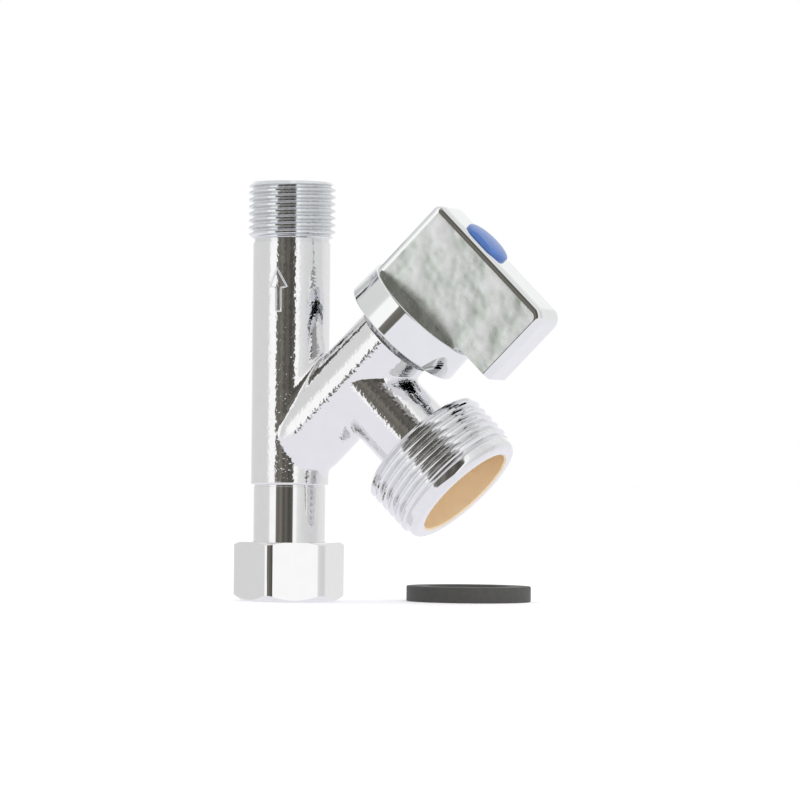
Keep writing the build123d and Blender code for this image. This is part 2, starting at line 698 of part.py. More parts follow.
with BuildPart() as handle_screw:
    with BuildSketch(boss_plane.offset(web_top_h)):
        Circle(SCREW_HEAD_D / 2)
    extrude(amount=SCREW_HEAD_T)
    with BuildSketch(boss_plane.offset(web_top_h)):
        Circle(SCREW_THREAD_D / 2)
    extrude(amount=-SCREW_LENGTH)
    with BuildSketch(boss_plane.offset(web_top_h + SCREW_HEAD_T)):
        Rectangle(SCREW_HEAD_D + OVERRUN, SCREW_SLOT_WIDTH)
    extrude(amount=-SCREW_SLOT_DEPTH, mode=Mode.SUBTRACT)

handle_screw.part.label = "handle_screw"
export_step(handle_screw.part, "parts/handle_screw.step")

# Index cap: shallow dome with a flat crown and flats along the bar, and a plug in the recess
cap_rim_h = bar_top_h + CAP_RIM_T
with BuildPart() as index_cap:
    with BuildSketch(boss_section):
        with BuildLine():
            plug = Polyline(
                (0, cap_rim_h + CAP_DOME),
                (0, bar_top_h - CAP_PLUG_T),
                (CAP_RECESS_D / 2 - FIT_GAP, bar_top_h - CAP_PLUG_T),
                (CAP_RECESS_D / 2 - FIT_GAP, bar_top_h),
                (CAP_D / 2, bar_top_h),
                (CAP_D / 2, cap_rim_h),
            )
            ThreePointArc(
                plug @ 1,
                (CAP_D / 2 - CAP_SHOULDER, cap_rim_h + CAP_SHOULDER_RISE),
                (CAP_CROWN_D / 2, cap_rim_h + CAP_DOME),
            )
            Line((CAP_CROWN_D / 2, cap_rim_h + CAP_DOME), plug @ 0)
        make_face()
    revolve(axis=boss_axis)
    with BuildSketch(boss_plane.offset(bar_top_h)):
        Circle(CAP_D)
        Rectangle(2 * CAP_D, CAP_FLATS, mode=Mode.SUBTRACT)
    extrude(amount=CAP_RIM_T + CAP_DOME, mode=Mode.SUBTRACT)

index_cap.part.label = "index_cap"
export_step(index_cap.part, "parts/index_cap.step")

with BuildPart() as hose_washer:
    with BuildSketch(Plane.XY):
        with Locations((HOSE_WASHER_X, HOSE_WASHER_Y)):
            Circle(HOSE_WASHER_D / 2)
            Circle(HOSE_WASHER_BORE_D / 2, mode=Mode.SUBTRACT)
    extrude(amount=HOSE_WASHER_T)

hose_washer.part.label = "hose_washer"
export_step(hose_washer.part, "parts/hose_washer.step")
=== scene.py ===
"""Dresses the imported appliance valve: a chromed tap with a lever, a hose outlet and its washer.

Lengths are in metres in the part's own frame: the origin is the centre of the swivel nut's lower
face, +Z runs up the through tube, and both branches lie in the XZ plane on the +X side.
"""

import json
import logging
import math
from dataclasses import dataclass, field
from enum import Enum
from typing import Callable, Sequence, Union

import bmesh
import bpy
from mathutils import Matrix, Vector

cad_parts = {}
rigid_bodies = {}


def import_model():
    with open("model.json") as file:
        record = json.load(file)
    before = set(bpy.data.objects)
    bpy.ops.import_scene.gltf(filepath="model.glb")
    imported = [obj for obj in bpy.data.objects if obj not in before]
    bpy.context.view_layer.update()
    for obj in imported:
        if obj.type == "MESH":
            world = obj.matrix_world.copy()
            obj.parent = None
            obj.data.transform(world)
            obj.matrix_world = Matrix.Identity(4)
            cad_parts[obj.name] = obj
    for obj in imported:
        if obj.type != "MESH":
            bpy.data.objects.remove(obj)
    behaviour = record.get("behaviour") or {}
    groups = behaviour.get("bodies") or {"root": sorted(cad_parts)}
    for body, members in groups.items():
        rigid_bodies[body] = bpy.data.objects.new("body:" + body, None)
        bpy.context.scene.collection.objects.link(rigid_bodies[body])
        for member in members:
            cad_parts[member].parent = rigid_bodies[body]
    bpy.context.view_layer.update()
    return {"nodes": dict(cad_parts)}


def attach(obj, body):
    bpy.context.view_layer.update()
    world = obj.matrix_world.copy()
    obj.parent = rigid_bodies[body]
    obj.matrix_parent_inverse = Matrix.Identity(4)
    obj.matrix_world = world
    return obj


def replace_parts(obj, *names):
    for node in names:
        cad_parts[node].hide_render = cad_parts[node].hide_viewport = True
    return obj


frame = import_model()

log = logging.getLogger("valve")
MM = 0.001
# Points closer together than this, in metres, are one
MERGE = 1e-6
# How far a cutting solid runs past the face that it cuts, in millimetres
OVERRUN = 1.0
DIAGONAL = math.sqrt(0.5)

# Whitworth pipe threads: rise of one turn of G 3/8 and of G 3/4 in millimetres, and the depth of
# their form as a share of that rise
FINE_PITCH = 1.337
COARSE_PITCH = 1.814
WHITWORTH_DEPTH = 0.6403

# The boss leans at 45 degrees from its crossing with the tube, and the outlet leaves it square
BOSS_DIR = Vector((DIAGONAL, 0, DIAGONAL))
OUTLET_DIR = Vector((DIAGONAL, 0, -DIAGONAL))
CROSSING = Vector((0, 0, 28.2)) * MM
OUTLET_RISE = 20.4 * MM
OUTLET_ROOT = CROSSING + BOSS_DIR * OUTLET_RISE


def frame_along(origin: Vector, z_axis: Vector, x_axis: Vector) -> Matrix:
    """Gives the matrix that takes a piece drawn upright at the origin to its own axis.

    Args:
        origin: where the piece's foot goes.
        z_axis: unit direction of the piece's height.
        x_axis: unit direction of the piece's own X, square to z_axis.

    Returns:
        The placing matrix.
    """
    y_axis = z_axis.cross(x_axis)
    turned_axes = Matrix((x_axis, y_axis, z_axis)).transposed().to_4x4()
    return Matrix.Translation(origin) @ turned_axes


UPRIGHT = Matrix.Identity(4)
BOSS = frame_along(CROSSING, BOSS_DIR, OUTLET_DIR)
OUTLET = frame_along(OUTLET_ROOT, OUTLET_DIR, BOSS_DIR)


# Materials

def linear(code: str) -> tuple[float, float, float, float]:
    """Turns an sRGB hex colour into a linear one.

    Args:
        code: the colour, as "#RRGGBB".

    Returns:
        Linear red, green, blue and alpha.
    """
    shares = [int(code[i:i + 2], 16) / 255 for i in (1, 3, 5)]
    red, green, blue = (s / 12.92 if s <= 0.04045 else ((s + 0.055) / 1.055) ** 2.4 for s in shares)
    return red, green, blue, 1.0


def add_node(tree: bpy.types.NodeTree, kind: str, inputs: dict | None = None,
             **settings: object) -> bpy.types.Node:
    """Adds a node with its settings, and sets or links its inputs.

    Args:
        tree: the node tree it goes into.
        kind: Blender's name for the node.
        inputs: a value or another node's output for each input, by name or number.
        **settings: the node's own properties.

    Returns:
        The new node.
    """
    node = tree.nodes.new(kind)
    for name, value in settings.items():
        setattr(node, name, value)
    for key, value in (inputs or {}).items():
        if isinstance(value, bpy.types.NodeSocket):
            tree.links.new(value, node.inputs[key])
        else:
            node.inputs[key].default_value = value
    return node


def ramp(tree: bpy.types.NodeTree, factor: bpy.types.NodeSocket,
         stops: Sequence[tuple[float, tuple]]) -> bpy.types.NodeSocket:
    """Adds a colour ramp with these stops.

    Args:
        tree: the node tree it goes into.
        factor: what the ramp reads.
        stops: place from 0 to 1 and linear colour of each stop.

    Returns:
        The ramp's colour.
    """
    node = add_node(tree, "ShaderNodeValToRGB", {"Fac": factor})
    marks = node.color_ramp.elements
    marks[0].position, marks[0].color = stops[0]
    marks[1].position, marks[1].color = stops[-1]
    for place, colour in stops[1:-1]:
        marks.new(place).color = colour
    return node.outputs["Color"]


# What a node's input takes: another node's output, a number or a linear colour
Source = Union[bpy.types.NodeSocket, float, tuple]


def mixed(tree: bpy.types.NodeTree, share: Source, first: Source, second: Source) -> bpy.types.NodeSocket:
    """Mixes two colours, each a value or another node's output.

    Args:
        tree: the node tree it goes into.
        share: how much of the second colour, from 0 to 1.
        first: the colour where the share is 0.
        second: the colour where it is 1.

    Returns:
        The mixed colour.
    """
    # a Mix node has one A and B for each kind of value, and inputs 6 and 7 are the colours
    return add_node(tree, "ShaderNodeMix", {0: share, 6: first, 7: second}, data_type="RGBA").outputs[2]


class Grain(Enum):
    """How a surface was made, which decides its pattern."""

    CAST = "pimpled skin of a forging that was plated as it was"
    LATHE = "fine rings left by a lathe tool"
    POLISHED = "shallow waves and rub marks of a casting polished on a wheel"
    # the clouds that this grain puts in the colour are a painted reflection of the room; the scratches and
    # relief are the belt's
    RUBBED = "clouds and fine scratches of a face rubbed flat on a belt"
    MOULDED = "fine even texture of a mould's wall"
    LAPPED = "flat ground face with no direction"


# Marks of the polishing wheel and of the belt: how they are drawn out along X, how much finer than
# the piece's grain they are, and their share in the relief, of which the swells are the rest
WHEEL_STRETCH, WHEEL_FINENESS, WHEEL_RELIEF = (0.25, 1.0, 1.0), 3, 0.06
BELT_STRETCH, BELT_FINENESS, BELT_RELIEF = (0.08, 1.0, 1.0), 30, 0.03
# The belt's lines and the clouds together give the rubbed faces their colour and gloss; the clouds'
# green-grey patches are a painted reflection of the room
BELT_SHADE, CLOUD_RANGE, SHADE_RANGE = 0.5, (0.34, 0.64), (0.1, 1.4)


@dataclass(frozen=True)
class Finish:
    """One real material with its surface, and the node material that shows it."""

    name: str
    # the two sRGB colours that its soft patches pass between
    colour: str
    second: str
    grain: Grain
    roughness: float
    metallic: float = 1.0
    # size of the grain and height of its relief, in millimetres
    grain_mm: float = 0.8
    relief_mm: float = 0.01
    # where the piece's own axis stands, which lathe rings go round
    place: Matrix = field(default_factory=Matrix)
    # how far the roughness varies either way
    spread: float = 0.04
    ior: float = 1.5

    def material(self) -> bpy.types.Material:
        """Builds the node material, or gives the one that this finish already made.

        Returns:
            The material.
        """
        made = bpy.data.materials.get(self.name)
        if made:
            return made
        made = bpy.data.materials.new(self.name)
        made.use_nodes = True
        tree = made.node_tree
        tree.nodes.clear()
        back = self.place.inverted()
        where = add_node(tree, "ShaderNodeMapping", {
            "Vector": add_node(tree, "ShaderNodeTexCoord").outputs["Object"],
            "Location": back.to_translation(),
            "Rotation": back.to_euler(),
        }).outputs["Vector"]
        height, patches = self._pattern(tree, where)
        colour = mixed(tree, patches, linear(self.colour), linear(self.second))
        gloss = add_node(tree, "ShaderNodeMapRange", {
            "Value": patches,
            "To Min": self.roughness - self.spread, "To Max": self.roughness + self.spread,
        })
        relief = add_node(tree, "ShaderNodeBump", {
            "Height": height, "Strength": 1.0, "Distance": self.relief_mm * MM,
        })
        shader = add_node(tree, "ShaderNodeBsdfPrincipled", {
            "Base Color": colour, "Metallic": self.metallic, "Roughness": gloss.outputs["Result"],
            "IOR": self.ior, "Normal": relief.outputs["Normal"],
        })
        add_node(tree, "ShaderNodeOutputMaterial", {"Surface": shader.outputs["BSDF"]})
        return made

    def _pattern(self, tree: bpy.types.NodeTree,
                 where: bpy.types.NodeSocket) -> tuple[bpy.types.NodeSocket, bpy.types.NodeSocket]:
        """Adds the pattern that the surface's making leaves.

        Args:
            tree: the material's node tree.
            where: the point on the piece, with the piece's own axis as Z.

        Returns:
            Sockets of the relief's height and of the soft patches in colour and gloss.
        """
        scale = 1 / (self.grain_mm * MM)
        broad = add_node(tree, "ShaderNodeTexNoise", {
            "Vector": where, "Scale": scale / 4, "Detail": 3.0, "Roughness": 0.6,
        }).outputs["Fac"]
        fine = add_node(tree, "ShaderNodeTexNoise", {
            "Vector": where, "Scale": scale, "Detail": 2.0, "Roughness": 0.5,
        }).outputs["Fac"]
        if self.grain is Grain.LATHE:
            rings = add_node(tree, "ShaderNodeTexWave", {
                "Vector": where, "Scale": scale / math.tau,
                "Distortion": 0.6, "Detail": 2.0, "Detail Scale": 0.4,
            }, bands_direction="Z").outputs["Fac"]
            return rings, broad
        if self.grain is Grain.CAST:
            pimples = add_node(tree, "ShaderNodeTexVoronoi", {
                "Vector": where, "Scale": scale, "Smoothness": 0.6,
            }, feature="SMOOTH_F1").outputs["Distance"]
            both = add_node(tree, "ShaderNodeMath", {0: fine, 1: pimples}, operation="ADD")
            return both.outputs[0], broad
        if self.grain is Grain.POLISHED:
            wheel = add_node(tree, "ShaderNodeMapping", {"Vector": where, "Scale": WHEEL_STRETCH})
            marks = add_node(tree, "ShaderNodeTexNoise", {
                "Vector": wheel.outputs["Vector"], "Scale": scale * WHEEL_FINENESS,
                "Detail": 4.0, "Roughness": 0.6,
            }).outputs["Fac"]
            faint = add_node(tree, "ShaderNodeMath", {0: marks, 1: WHEEL_RELIEF, 2: broad},
                             operation="MULTIPLY_ADD")
            return faint.outputs[0], fine
        if self.grain is Grain.RUBBED:
            belt = add_node(tree, "ShaderNodeMapping", {"Vector": where, "Scale": BELT_STRETCH})
            lines = add_node(tree, "ShaderNodeTexNoise", {
                "Vector": belt.outputs["Vector"], "Scale": scale * BELT_FINENESS,
                "Detail": 3.0, "Roughness": 0.6,
            }).outputs["Fac"]
            # the clouds, which become the colour's patches, are a painted reflection of the room's
            # green-grey light
            clouds = add_node(tree, "ShaderNodeMapRange", {
                "Value": fine, "From Min": CLOUD_RANGE[0], "From Max": CLOUD_RANGE[1]}).outputs["Result"]
            cloudy = add_node(tree, "ShaderNodeMath", {0: lines, 1: BELT_SHADE, 2: clouds},
                              operation="MULTIPLY_ADD").outputs[0]
            shade = add_node(tree, "ShaderNodeMapRange", {
                "Value": cloudy, "From Min": SHADE_RANGE[0], "From Max": SHADE_RANGE[1]}).outputs["Result"]
            waves = add_node(tree, "ShaderNodeMath", {0: lines, 1: BELT_RELIEF, 2: fine},
                             operation="MULTIPLY_ADD")
            return waves.outputs[0], shade
        return fine, broad


# Nickel-chrome plate on a brass forging left as forged: mirror bright, so its pimples break up every line
CAST_CHROME = Finish("nickel_chrome_on_forged_brass", "#EDEDEE", "#E6E6E7", Grain.CAST, 0.05,
                     grain_mm=0.6, relief_mm=0.02, spread=0.03)
# The same plate on turned brass: straight stripes with a tool's fine rings in them
TURNED_CHROME = Finish("nickel_chrome_on_turned_brass", "#EDEDED", "#E4E4E4", Grain.LATHE, 0.06,
                       grain_mm=0.45, relief_mm=0.0012, spread=0.02)
# Chrome on the outlet's cut thread: a little duller, from plating that builds up on the crests
THREAD_CHROME = Finish("nickel_chrome_on_cut_thread", "#EFEFF0", "#E4E5E6", Grain.POLISHED, 0.08,
                       grain_mm=1.2, relief_mm=0.01, spread=0.04)
# The finer top thread carries less polish
FINE_THREAD_CHROME = Finish("nickel_chrome_on_fine_thread", "#E8EAEB", "#DADCDE", Grain.POLISHED, 0.10,
                            grain_mm=1.2, relief_mm=0.01, spread=0.04)
# Chrome on a hexagon bar nut, drawn and tumbled: flat bright faces
NUT_CHROME = Finish("nickel_chrome_on_hexagon_nut", "#ECECEC", "#E8E8E8", Grain.POLISHED, 0.04,
                    grain_mm=2.5, relief_mm=0.002, spread=0.02)
# Chrome on a zinc die casting, buffed on a wheel: as bright as a mirror on hub and edges
LEVER_CHROME = Finish("chrome_on_buffed_die_casting", "#EDEEEE", "#E6E8E8", Grain.POLISHED, 0.05,
                      grain_mm=3.0, relief_mm=0.006, place=BOSS, spread=0.02)
# The bar's broad sides, rubbed flat on a belt before plating: cloudy, with a faint green-grey cast and white
# clouds in the colour that are a painted reflection of the room
RUBBED_CHROME_PAINTED_REFLECTION = Finish("rubbed_chrome_with_painted_reflection", "#DBE5DD", "#FFFFFF", Grain.RUBBED, 0.27,
                       grain_mm=5.5, relief_mm=0.16, place=BOSS, spread=0.09)
# The hub's cone beside the bar, which the wheel never reaches: cast skin under the chrome, mottled
CONE_CHROME = Finish("chrome_on_rough_cast_cone", "#F4F5F5", "#D4D6D6", Grain.CAST, 0.09,
                     grain_mm=0.6, relief_mm=0.07, place=BOSS, spread=0.06)
# Rough shoulder of the headwork, plated but never polished: mottled grey
HEX_CHROME = Finish("chrome_on_rough_hexagon", "#C8CACB", "#9EA1A3", Grain.CAST, 0.22,
                    grain_mm=0.8, relief_mm=0.06, spread=0.08)
# Bare free-cutting brass, bored: soft gold with the boring tool's rings
BORED_BRASS = Finish("bored_cz121_brass", "#FBE8C8", "#F4DCB4", Grain.LATHE, 0.42, metallic=0.4,
                     grain_mm=0.4, relief_mm=0.004, spread=0.05)
# The same brass in the outlet's cup, with its rings about the outlet's own axis
OUTLET_BRASS = Finish("bored_cz121_brass_outlet", "#FBE8C8", "#F4DCB4", Grain.LATHE, 0.42, metallic=0.4,
                      grain_mm=0.4, relief_mm=0.004, place=OUTLET, spread=0.05)
# Brass bar turned on the outside, as on the spindle: darker and brighter than a bore
BAR_BRASS = Finish("turned_cz121_brass", "#D9B583", "#CBA36F", Grain.LATHE, 0.25,
                   grain_mm=0.4, relief_mm=0.003, place=BOSS, spread=0.05)
# Phosphated spring steel: dark grey, slightly oily
SPRING_STEEL = Finish("phosphated_spring_steel", "#8A8B8D", "#6F7072", Grain.LAPPED, 0.35,
                      grain_mm=0.5, relief_mm=0.004)
# Zinc plate on a steel screw: pale bluish metal
ZINC_STEEL = Finish("zinc_plated_steel_screw", "#C9CCD0", "#B5B8BA", Grain.LATHE, 0.25,
                    grain_mm=0.3, relief_mm=0.004, place=BOSS)
# Compression-moulded EPDM: matt charcoal with talc in its texture
EPDM = Finish("moulded_epdm_rubber", "#545452", "#484846", Grain.MOULDED, 0.62, metallic=0.0,
              grain_mm=0.25, relief_mm=0.008, spread=0.08)
# Moulded nitrile O-rings, greased: black with a slight sheen
NITRILE = Finish("moulded_nitrile_o_ring", "#2B2B2B", "#1F1F1F", Grain.MOULDED, 0.45, metallic=0.0,
                 grain_mm=0.2, relief_mm=0.004)
# Injection-moulded ABS in a mid blue: glossy, with a soft flow pattern
BLUE_ABS = Finish("moulded_blue_abs", "#547CC2", "#466EB2", Grain.MOULDED, 0.28, metallic=0.0,
                  grain_mm=0.7, relief_mm=0.004, ior=1.6)
# PTFE and acetal bearing parts: waxy white
PTFE = Finish("moulded_white_ptfe", "#E4E3DD", "#DAD9D2", Grain.MOULDED, 0.45, metallic=0.0,
              grain_mm=0.5, relief_mm=0.003, ior=1.38)
# Sintered alumina, lapped flat: cream white with a silky face
ALUMINA = Finish("lapped_alumina_ceramic", "#E6E2D8", "#DCD8CC", Grain.LAPPED, 0.22, metallic=0.0,
                 grain_mm=0.3, relief_mm=0.001, ior=1.76)


# Modelling helpers

class Cut(Enum):
    """What a second solid does to the first."""

    JOIN = "UNION"
    TAKE = "DIFFERENCE"
    KEEP = "INTERSECT"


@dataclass(frozen=True)
class Corner:
    """One corner of a turned outline: radius, height, and how round it is, in millimetres."""

    r: float
    z: float
    round: float = 0.0


def only(piece: bpy.types.Object) -> None:
    """Leaves edit mode and makes this the one selected and active object.

    Args:
        piece: the object.
    """
    clear()
    piece.select_set(True)
    bpy.context.view_layer.objects.active = piece


def clear() -> None:
    """Leaves edit mode and deselects everything."""
    active = bpy.context.view_layer.objects.active
    if active is not None and active.mode != "OBJECT":
        bpy.ops.object.mode_set(mode="OBJECT")
    bpy.ops.object.select_all(action="DESELECT")


def rounded(outline: Sequence[Corner], closed: bool) -> list[tuple[float, float]]:
    """Replaces each rounded corner by an arc that touches both its sides.

    Args:
        outline: the corners in order.
        closed: whether the last corner is joined to the first.

    Returns:
        Radius and height of each point, in metres.
    """
    points = []
    count = len(outline)
    for i, corner in enumerate(outline):
        here = Vector((corner.r, corner.z))
        if not corner.round or (not closed and i in (0, count - 1)):
            points.append(here)
            continue
        before, after = outline[i - 1], outline[(i + 1) % count]
        to_before = (Vector((before.r, before.z)) - here).normalized()
        to_after = (Vector((after.r, after.z)) - here).normalized()
        half = to_before.angle(to_after) / 2
        reach = corner.round / math.tan(half)
        centre = here + (to_before + to_after).normalized() * corner.round / math.sin(half)
        start, end = here + to_before * reach - centre, here + to_after * reach - centre
        turn = start.angle_signed(end)
        steps = max(2, round(abs(turn) / math.radians(15)))
        for k in range(steps + 1):
            angle = -turn * k / steps
            across = Vector((start.x * math.cos(angle) - start.y * math.sin(angle),
                             start.x * math.sin(angle) + start.y * math.cos(angle)))
            points.append(centre + across)
    return [(p.x * MM, p.y * MM) for p in points]


def draw_line(name: str, points: Sequence[tuple[float, float]], closed: bool) -> bpy.types.Object:
    """Draws an outline in the XZ plane by extruding one vertex from point to point.

    Args:
        name: the new object's name.
        points: radius and height of each point, in metres.
        closed: whether the line comes back to its first point.

    Returns:
        The object, in edit mode with everything selected.
    """
    clear()
    bpy.ops.mesh.primitive_plane_add(size=MM)
    piece = bpy.context.view_layer.objects.active
    piece.name = name
    bpy.ops.object.mode_set(mode="EDIT")
    bpy.ops.mesh.select_mode(type="VERT")
    bpy.ops.mesh.select_all(action="SELECT")
    bpy.ops.mesh.merge(type="CENTER")
    route = list(points) + ([points[0]] if closed else [])
    bpy.ops.transform.translate(value=(route[0][0], 0, route[0][1]))
    for (r0, z0), (r1, z1) in zip(route, route[1:]):
        bpy.ops.mesh.extrude_vertices_move(TRANSFORM_OT_translate={"value": (r1 - r0, 0, z1 - z0)})
    bpy.ops.mesh.select_all(action="SELECT")
    bpy.ops.mesh.remove_doubles(threshold=MERGE)
    return piece


def settle(piece: bpy.types.Object, place: Matrix = UPRIGHT) -> bpy.types.Object:
    """Moves a piece to its place and bakes the move, so that its object sits at the origin.

    Args:
        piece: the object.
        place: the move, from where it was drawn.

    Returns:
        The same object.
    """
    only(piece)
    piece.matrix_world = place @ piece.matrix_world
    bpy.ops.object.transform_apply(location=True, rotation=True, scale=True)
    return piece


def turn_up(name: str, outline: Sequence[Corner], place: Matrix = UPRIGHT, ring: bool = False,
            steps: int = 128) -> bpy.types.Object:
    """Turns a solid from half its outline, as on a lathe.

    Args:
        name: the new object's name.
        outline: corners in millimetres; it starts and ends on the axis unless it is a ring.
        place: where its axis goes.
        ring: whether the outline closes on itself round a hole.
        steps: facets round the axis.

    Returns:
        The closed solid.
    """
    piece = draw_line(name, rounded(outline, ring), ring)
    bpy.ops.mesh.select_all(action="SELECT")
    bpy.ops.mesh.spin(steps=steps, angle=math.tau, center=(0, 0, 0), axis=(0, 0, 1))
    bpy.ops.mesh.select_all(action="SELECT")
    bpy.ops.mesh.remove_doubles(threshold=MERGE)
    bpy.ops.mesh.normals_make_consistent(inside=False)
    bpy.ops.object.mode_set(mode="OBJECT")
    return settle(piece, place)


def stack(name: str, foot: float, cylinders: Sequence[tuple[float, float]], place: Matrix = UPRIGHT,
          steps: int = 128) -> bpy.types.Object:
    """Turns one or more plain cylinders that stand on one another.

    Args:
        name: the new object's name.
        foot: height where the lowest one starts, in millimetres.
        cylinders: radius and upper height of each, from the lowest up.
        place: where their axis goes.
        steps: facets round the axis.

    Returns:
        The closed solid.
    """
    outline, low = [Corner(0, foot)], foot
    for radius, high in cylinders:
        outline += [Corner(radius, low), Corner(radius, high)]
        low = high
    return turn_up(name, outline + [Corner(0, low)], place, steps=steps)


def apply(piece: bpy.types.Object, kind: str, **settings: object) -> None:
    """Adds a modifier with these settings and applies it.

    Args:
        piece: the object.
        kind: Blender's name for the modifier.
        **settings: the modifier's own properties.
    """
    only(piece)
    modifier = piece.modifiers.new(kind.lower(), kind)
    for name, value in settings.items():
        setattr(modifier, name, value)
    bpy.ops.object.modifier_apply(modifier=modifier.name)


def combine(piece: bpy.types.Object, tool: bpy.types.Object, how: Cut, finish: int = 0) -> bpy.types.Object:
    """Joins, cuts or keeps what two solids share, and removes the second.

    Args:
        piece: the solid that stays.
        tool: the solid that is used up.
        how: what the tool does.
        finish: number of the piece's material that the tool's faces leave behind.

    Returns:
        The first solid.
    """
    tool.data.materials.clear()
    for material in piece.data.materials:
        tool.data.materials.append(material)
    for face in tool.data.polygons:
        face.material_index = finish
    apply(piece, "BOOLEAN", operation=how.value, object=tool, solver="MANIFOLD")
    bpy.data.objects.remove(tool)
    return piece


def edit_where(piece: bpy.types.Object, kind: str, test: Callable) -> None:
    """Opens a piece in edit mode with the faces, edges or vertices that pass a test selected.

    Args:
        piece: the object.
        kind: "faces", "edges" or "verts".
        test: takes the element and says whether it is selected.
    """
    only(piece)
    bpy.ops.object.mode_set(mode="EDIT")
    bpy.ops.mesh.select_mode(type={"faces": "FACE", "edges": "EDGE", "verts": "VERT"}[kind])
    bpy.ops.mesh.select_all(action="DESELECT")
    mesh = bmesh.from_edit_mesh(piece.data)
    chosen = [element for element in getattr(mesh, kind) if test(element)]
    for element in chosen:
        element.select_set(True)
    mesh.select_flush_mode()
    bmesh.update_edit_mesh(piece.data)


def block(name: str, low: Sequence[float], high: Sequence[float]) -> bpy.types.Object:
    """Adds a box between two corners, in millimetres, that later edits shape.

    Args:
        name: the new object's name.
        low: its least X, Y and Z.
        high: its greatest.

    Returns:
        The box.
    """
    clear()
    low, high = Vector(low) * MM, Vector(high) * MM
    bpy.ops.mesh.primitive_cube_add(size=1, location=(low + high) / 2, scale=high - low)
    piece = bpy.context.view_layer.objects.active
    piece.name = name
    return settle(piece)


def wind_thread(name: str, crest_mm: float, pitch_mm: float, start_mm: float, length_mm: float,
                place: Matrix = UPRIGHT, steps: int = 96) -> bpy.types.Object:
    """Winds a closed screw with a Whitworth thread, longer at both ends than asked for.

    Args:
        name: the new object's name.
        crest_mm: radius of the crest.
        pitch_mm: rise of one turn.
        start_mm: height where the wanted thread starts.
        length_mm: its length.
        place: where its axis goes.
        steps: facets round the axis.

    Returns:
        The solid screw, to be cut to length by another solid.
    """
    turns_below, turns_more = 1.6, 3
    depth = WHITWORTH_DEPTH * pitch_mm
    first = start_mm - turns_below * pitch_mm
    # one turn's outline from crest to crest: shares of the pitch along it, and of the depth down it
    shape = ((0.0, 1.0), (0.05, 1.0), (0.11, 0.93), (0.37, 0.07), (0.42, 0.0), (0.58, 0.0), (0.63, 0.07),
             (0.89, 0.93), (0.95, 1.0), (1.0, 1.0))
    points = [((crest_mm - depth * down) * MM, (first + pitch_mm * along) * MM) for along, down in shape]
    piece = draw_line(name, points, closed=False)
    bpy.ops.object.mode_set(mode="OBJECT")
    turns = math.ceil(length_mm / pitch_mm) + turns_more
    apply(piece, "SCREW", angle=math.tau, screw_offset=pitch_mm * MM, iterations=turns, steps=steps,
          render_steps=steps)
    edit_where(piece, "verts", lambda v: True)
    bpy.ops.mesh.remove_doubles(threshold=MERGE)
    # each open end is drawn in to a point inside the screw, where the blank cuts it away
    for end in (False, True):
        middle = (first + pitch_mm * turns / 2) * MM
        edit_where(piece, "edges", lambda e: e.is_boundary and (e.verts[0].co.z > middle) == end)
        bpy.ops.mesh.extrude_region_move()
        bpy.ops.mesh.merge(type="CENTER")
    bpy.ops.mesh.select_all(action="SELECT")
    bpy.ops.mesh.normals_make_consistent(inside=False)
    bpy.ops.object.mode_set(mode="OBJECT")
    return settle(piece, place)


def smooth(piece: bpy.types.Object, degrees: float = 32.0, broad_mm2: float = 0.0) -> bpy.types.Object:
    """Shades a piece smooth but for its sharp edges.

    Args:
        piece: the object.
        degrees: angle from which an edge stays sharp.
        broad_mm2: area from which a face stays flat to the eye beside rounded edges, or 0 for none.

    Returns:
        The same object.
    """
    only(piece)
    bpy.ops.object.shade_smooth_by_angle(angle=math.radians(degrees))
    if broad_mm2:
        same_way = 0.99999
        broad = [face.normal.copy() for face in piece.data.polygons if face.area > broad_mm2 * MM ** 2]
        edit_where(piece, "faces", lambda face: any(face.normal.dot(n) > same_way for n in broad))
        bpy.ops.mesh.mod_weighted_strength(set=True, face_strength="STRONG")
        bpy.ops.object.mode_set(mode="OBJECT")
        apply(piece, "WEIGHTED_NORMAL", mode="FACE_AREA", keep_sharp=True, use_face_influence=True)
    return piece


def dress(piece: bpy.types.Object, *finishes: Finish) -> None:
    """Gives a piece these materials, the first on every face."""
    piece.data.materials.clear()
    for finish in finishes:
        piece.data.materials.append(finish.material())


def paint_bore(piece: bpy.types.Object, radius_mm: float) -> None:
    """Gives the faces nearer to the Z axis than this the piece's second material."""
    for face in piece.data.polygons:
        if math.hypot(face.center.x, face.center.y) < radius_mm * MM:
            face.material_index = 1


# Sub-assemblies

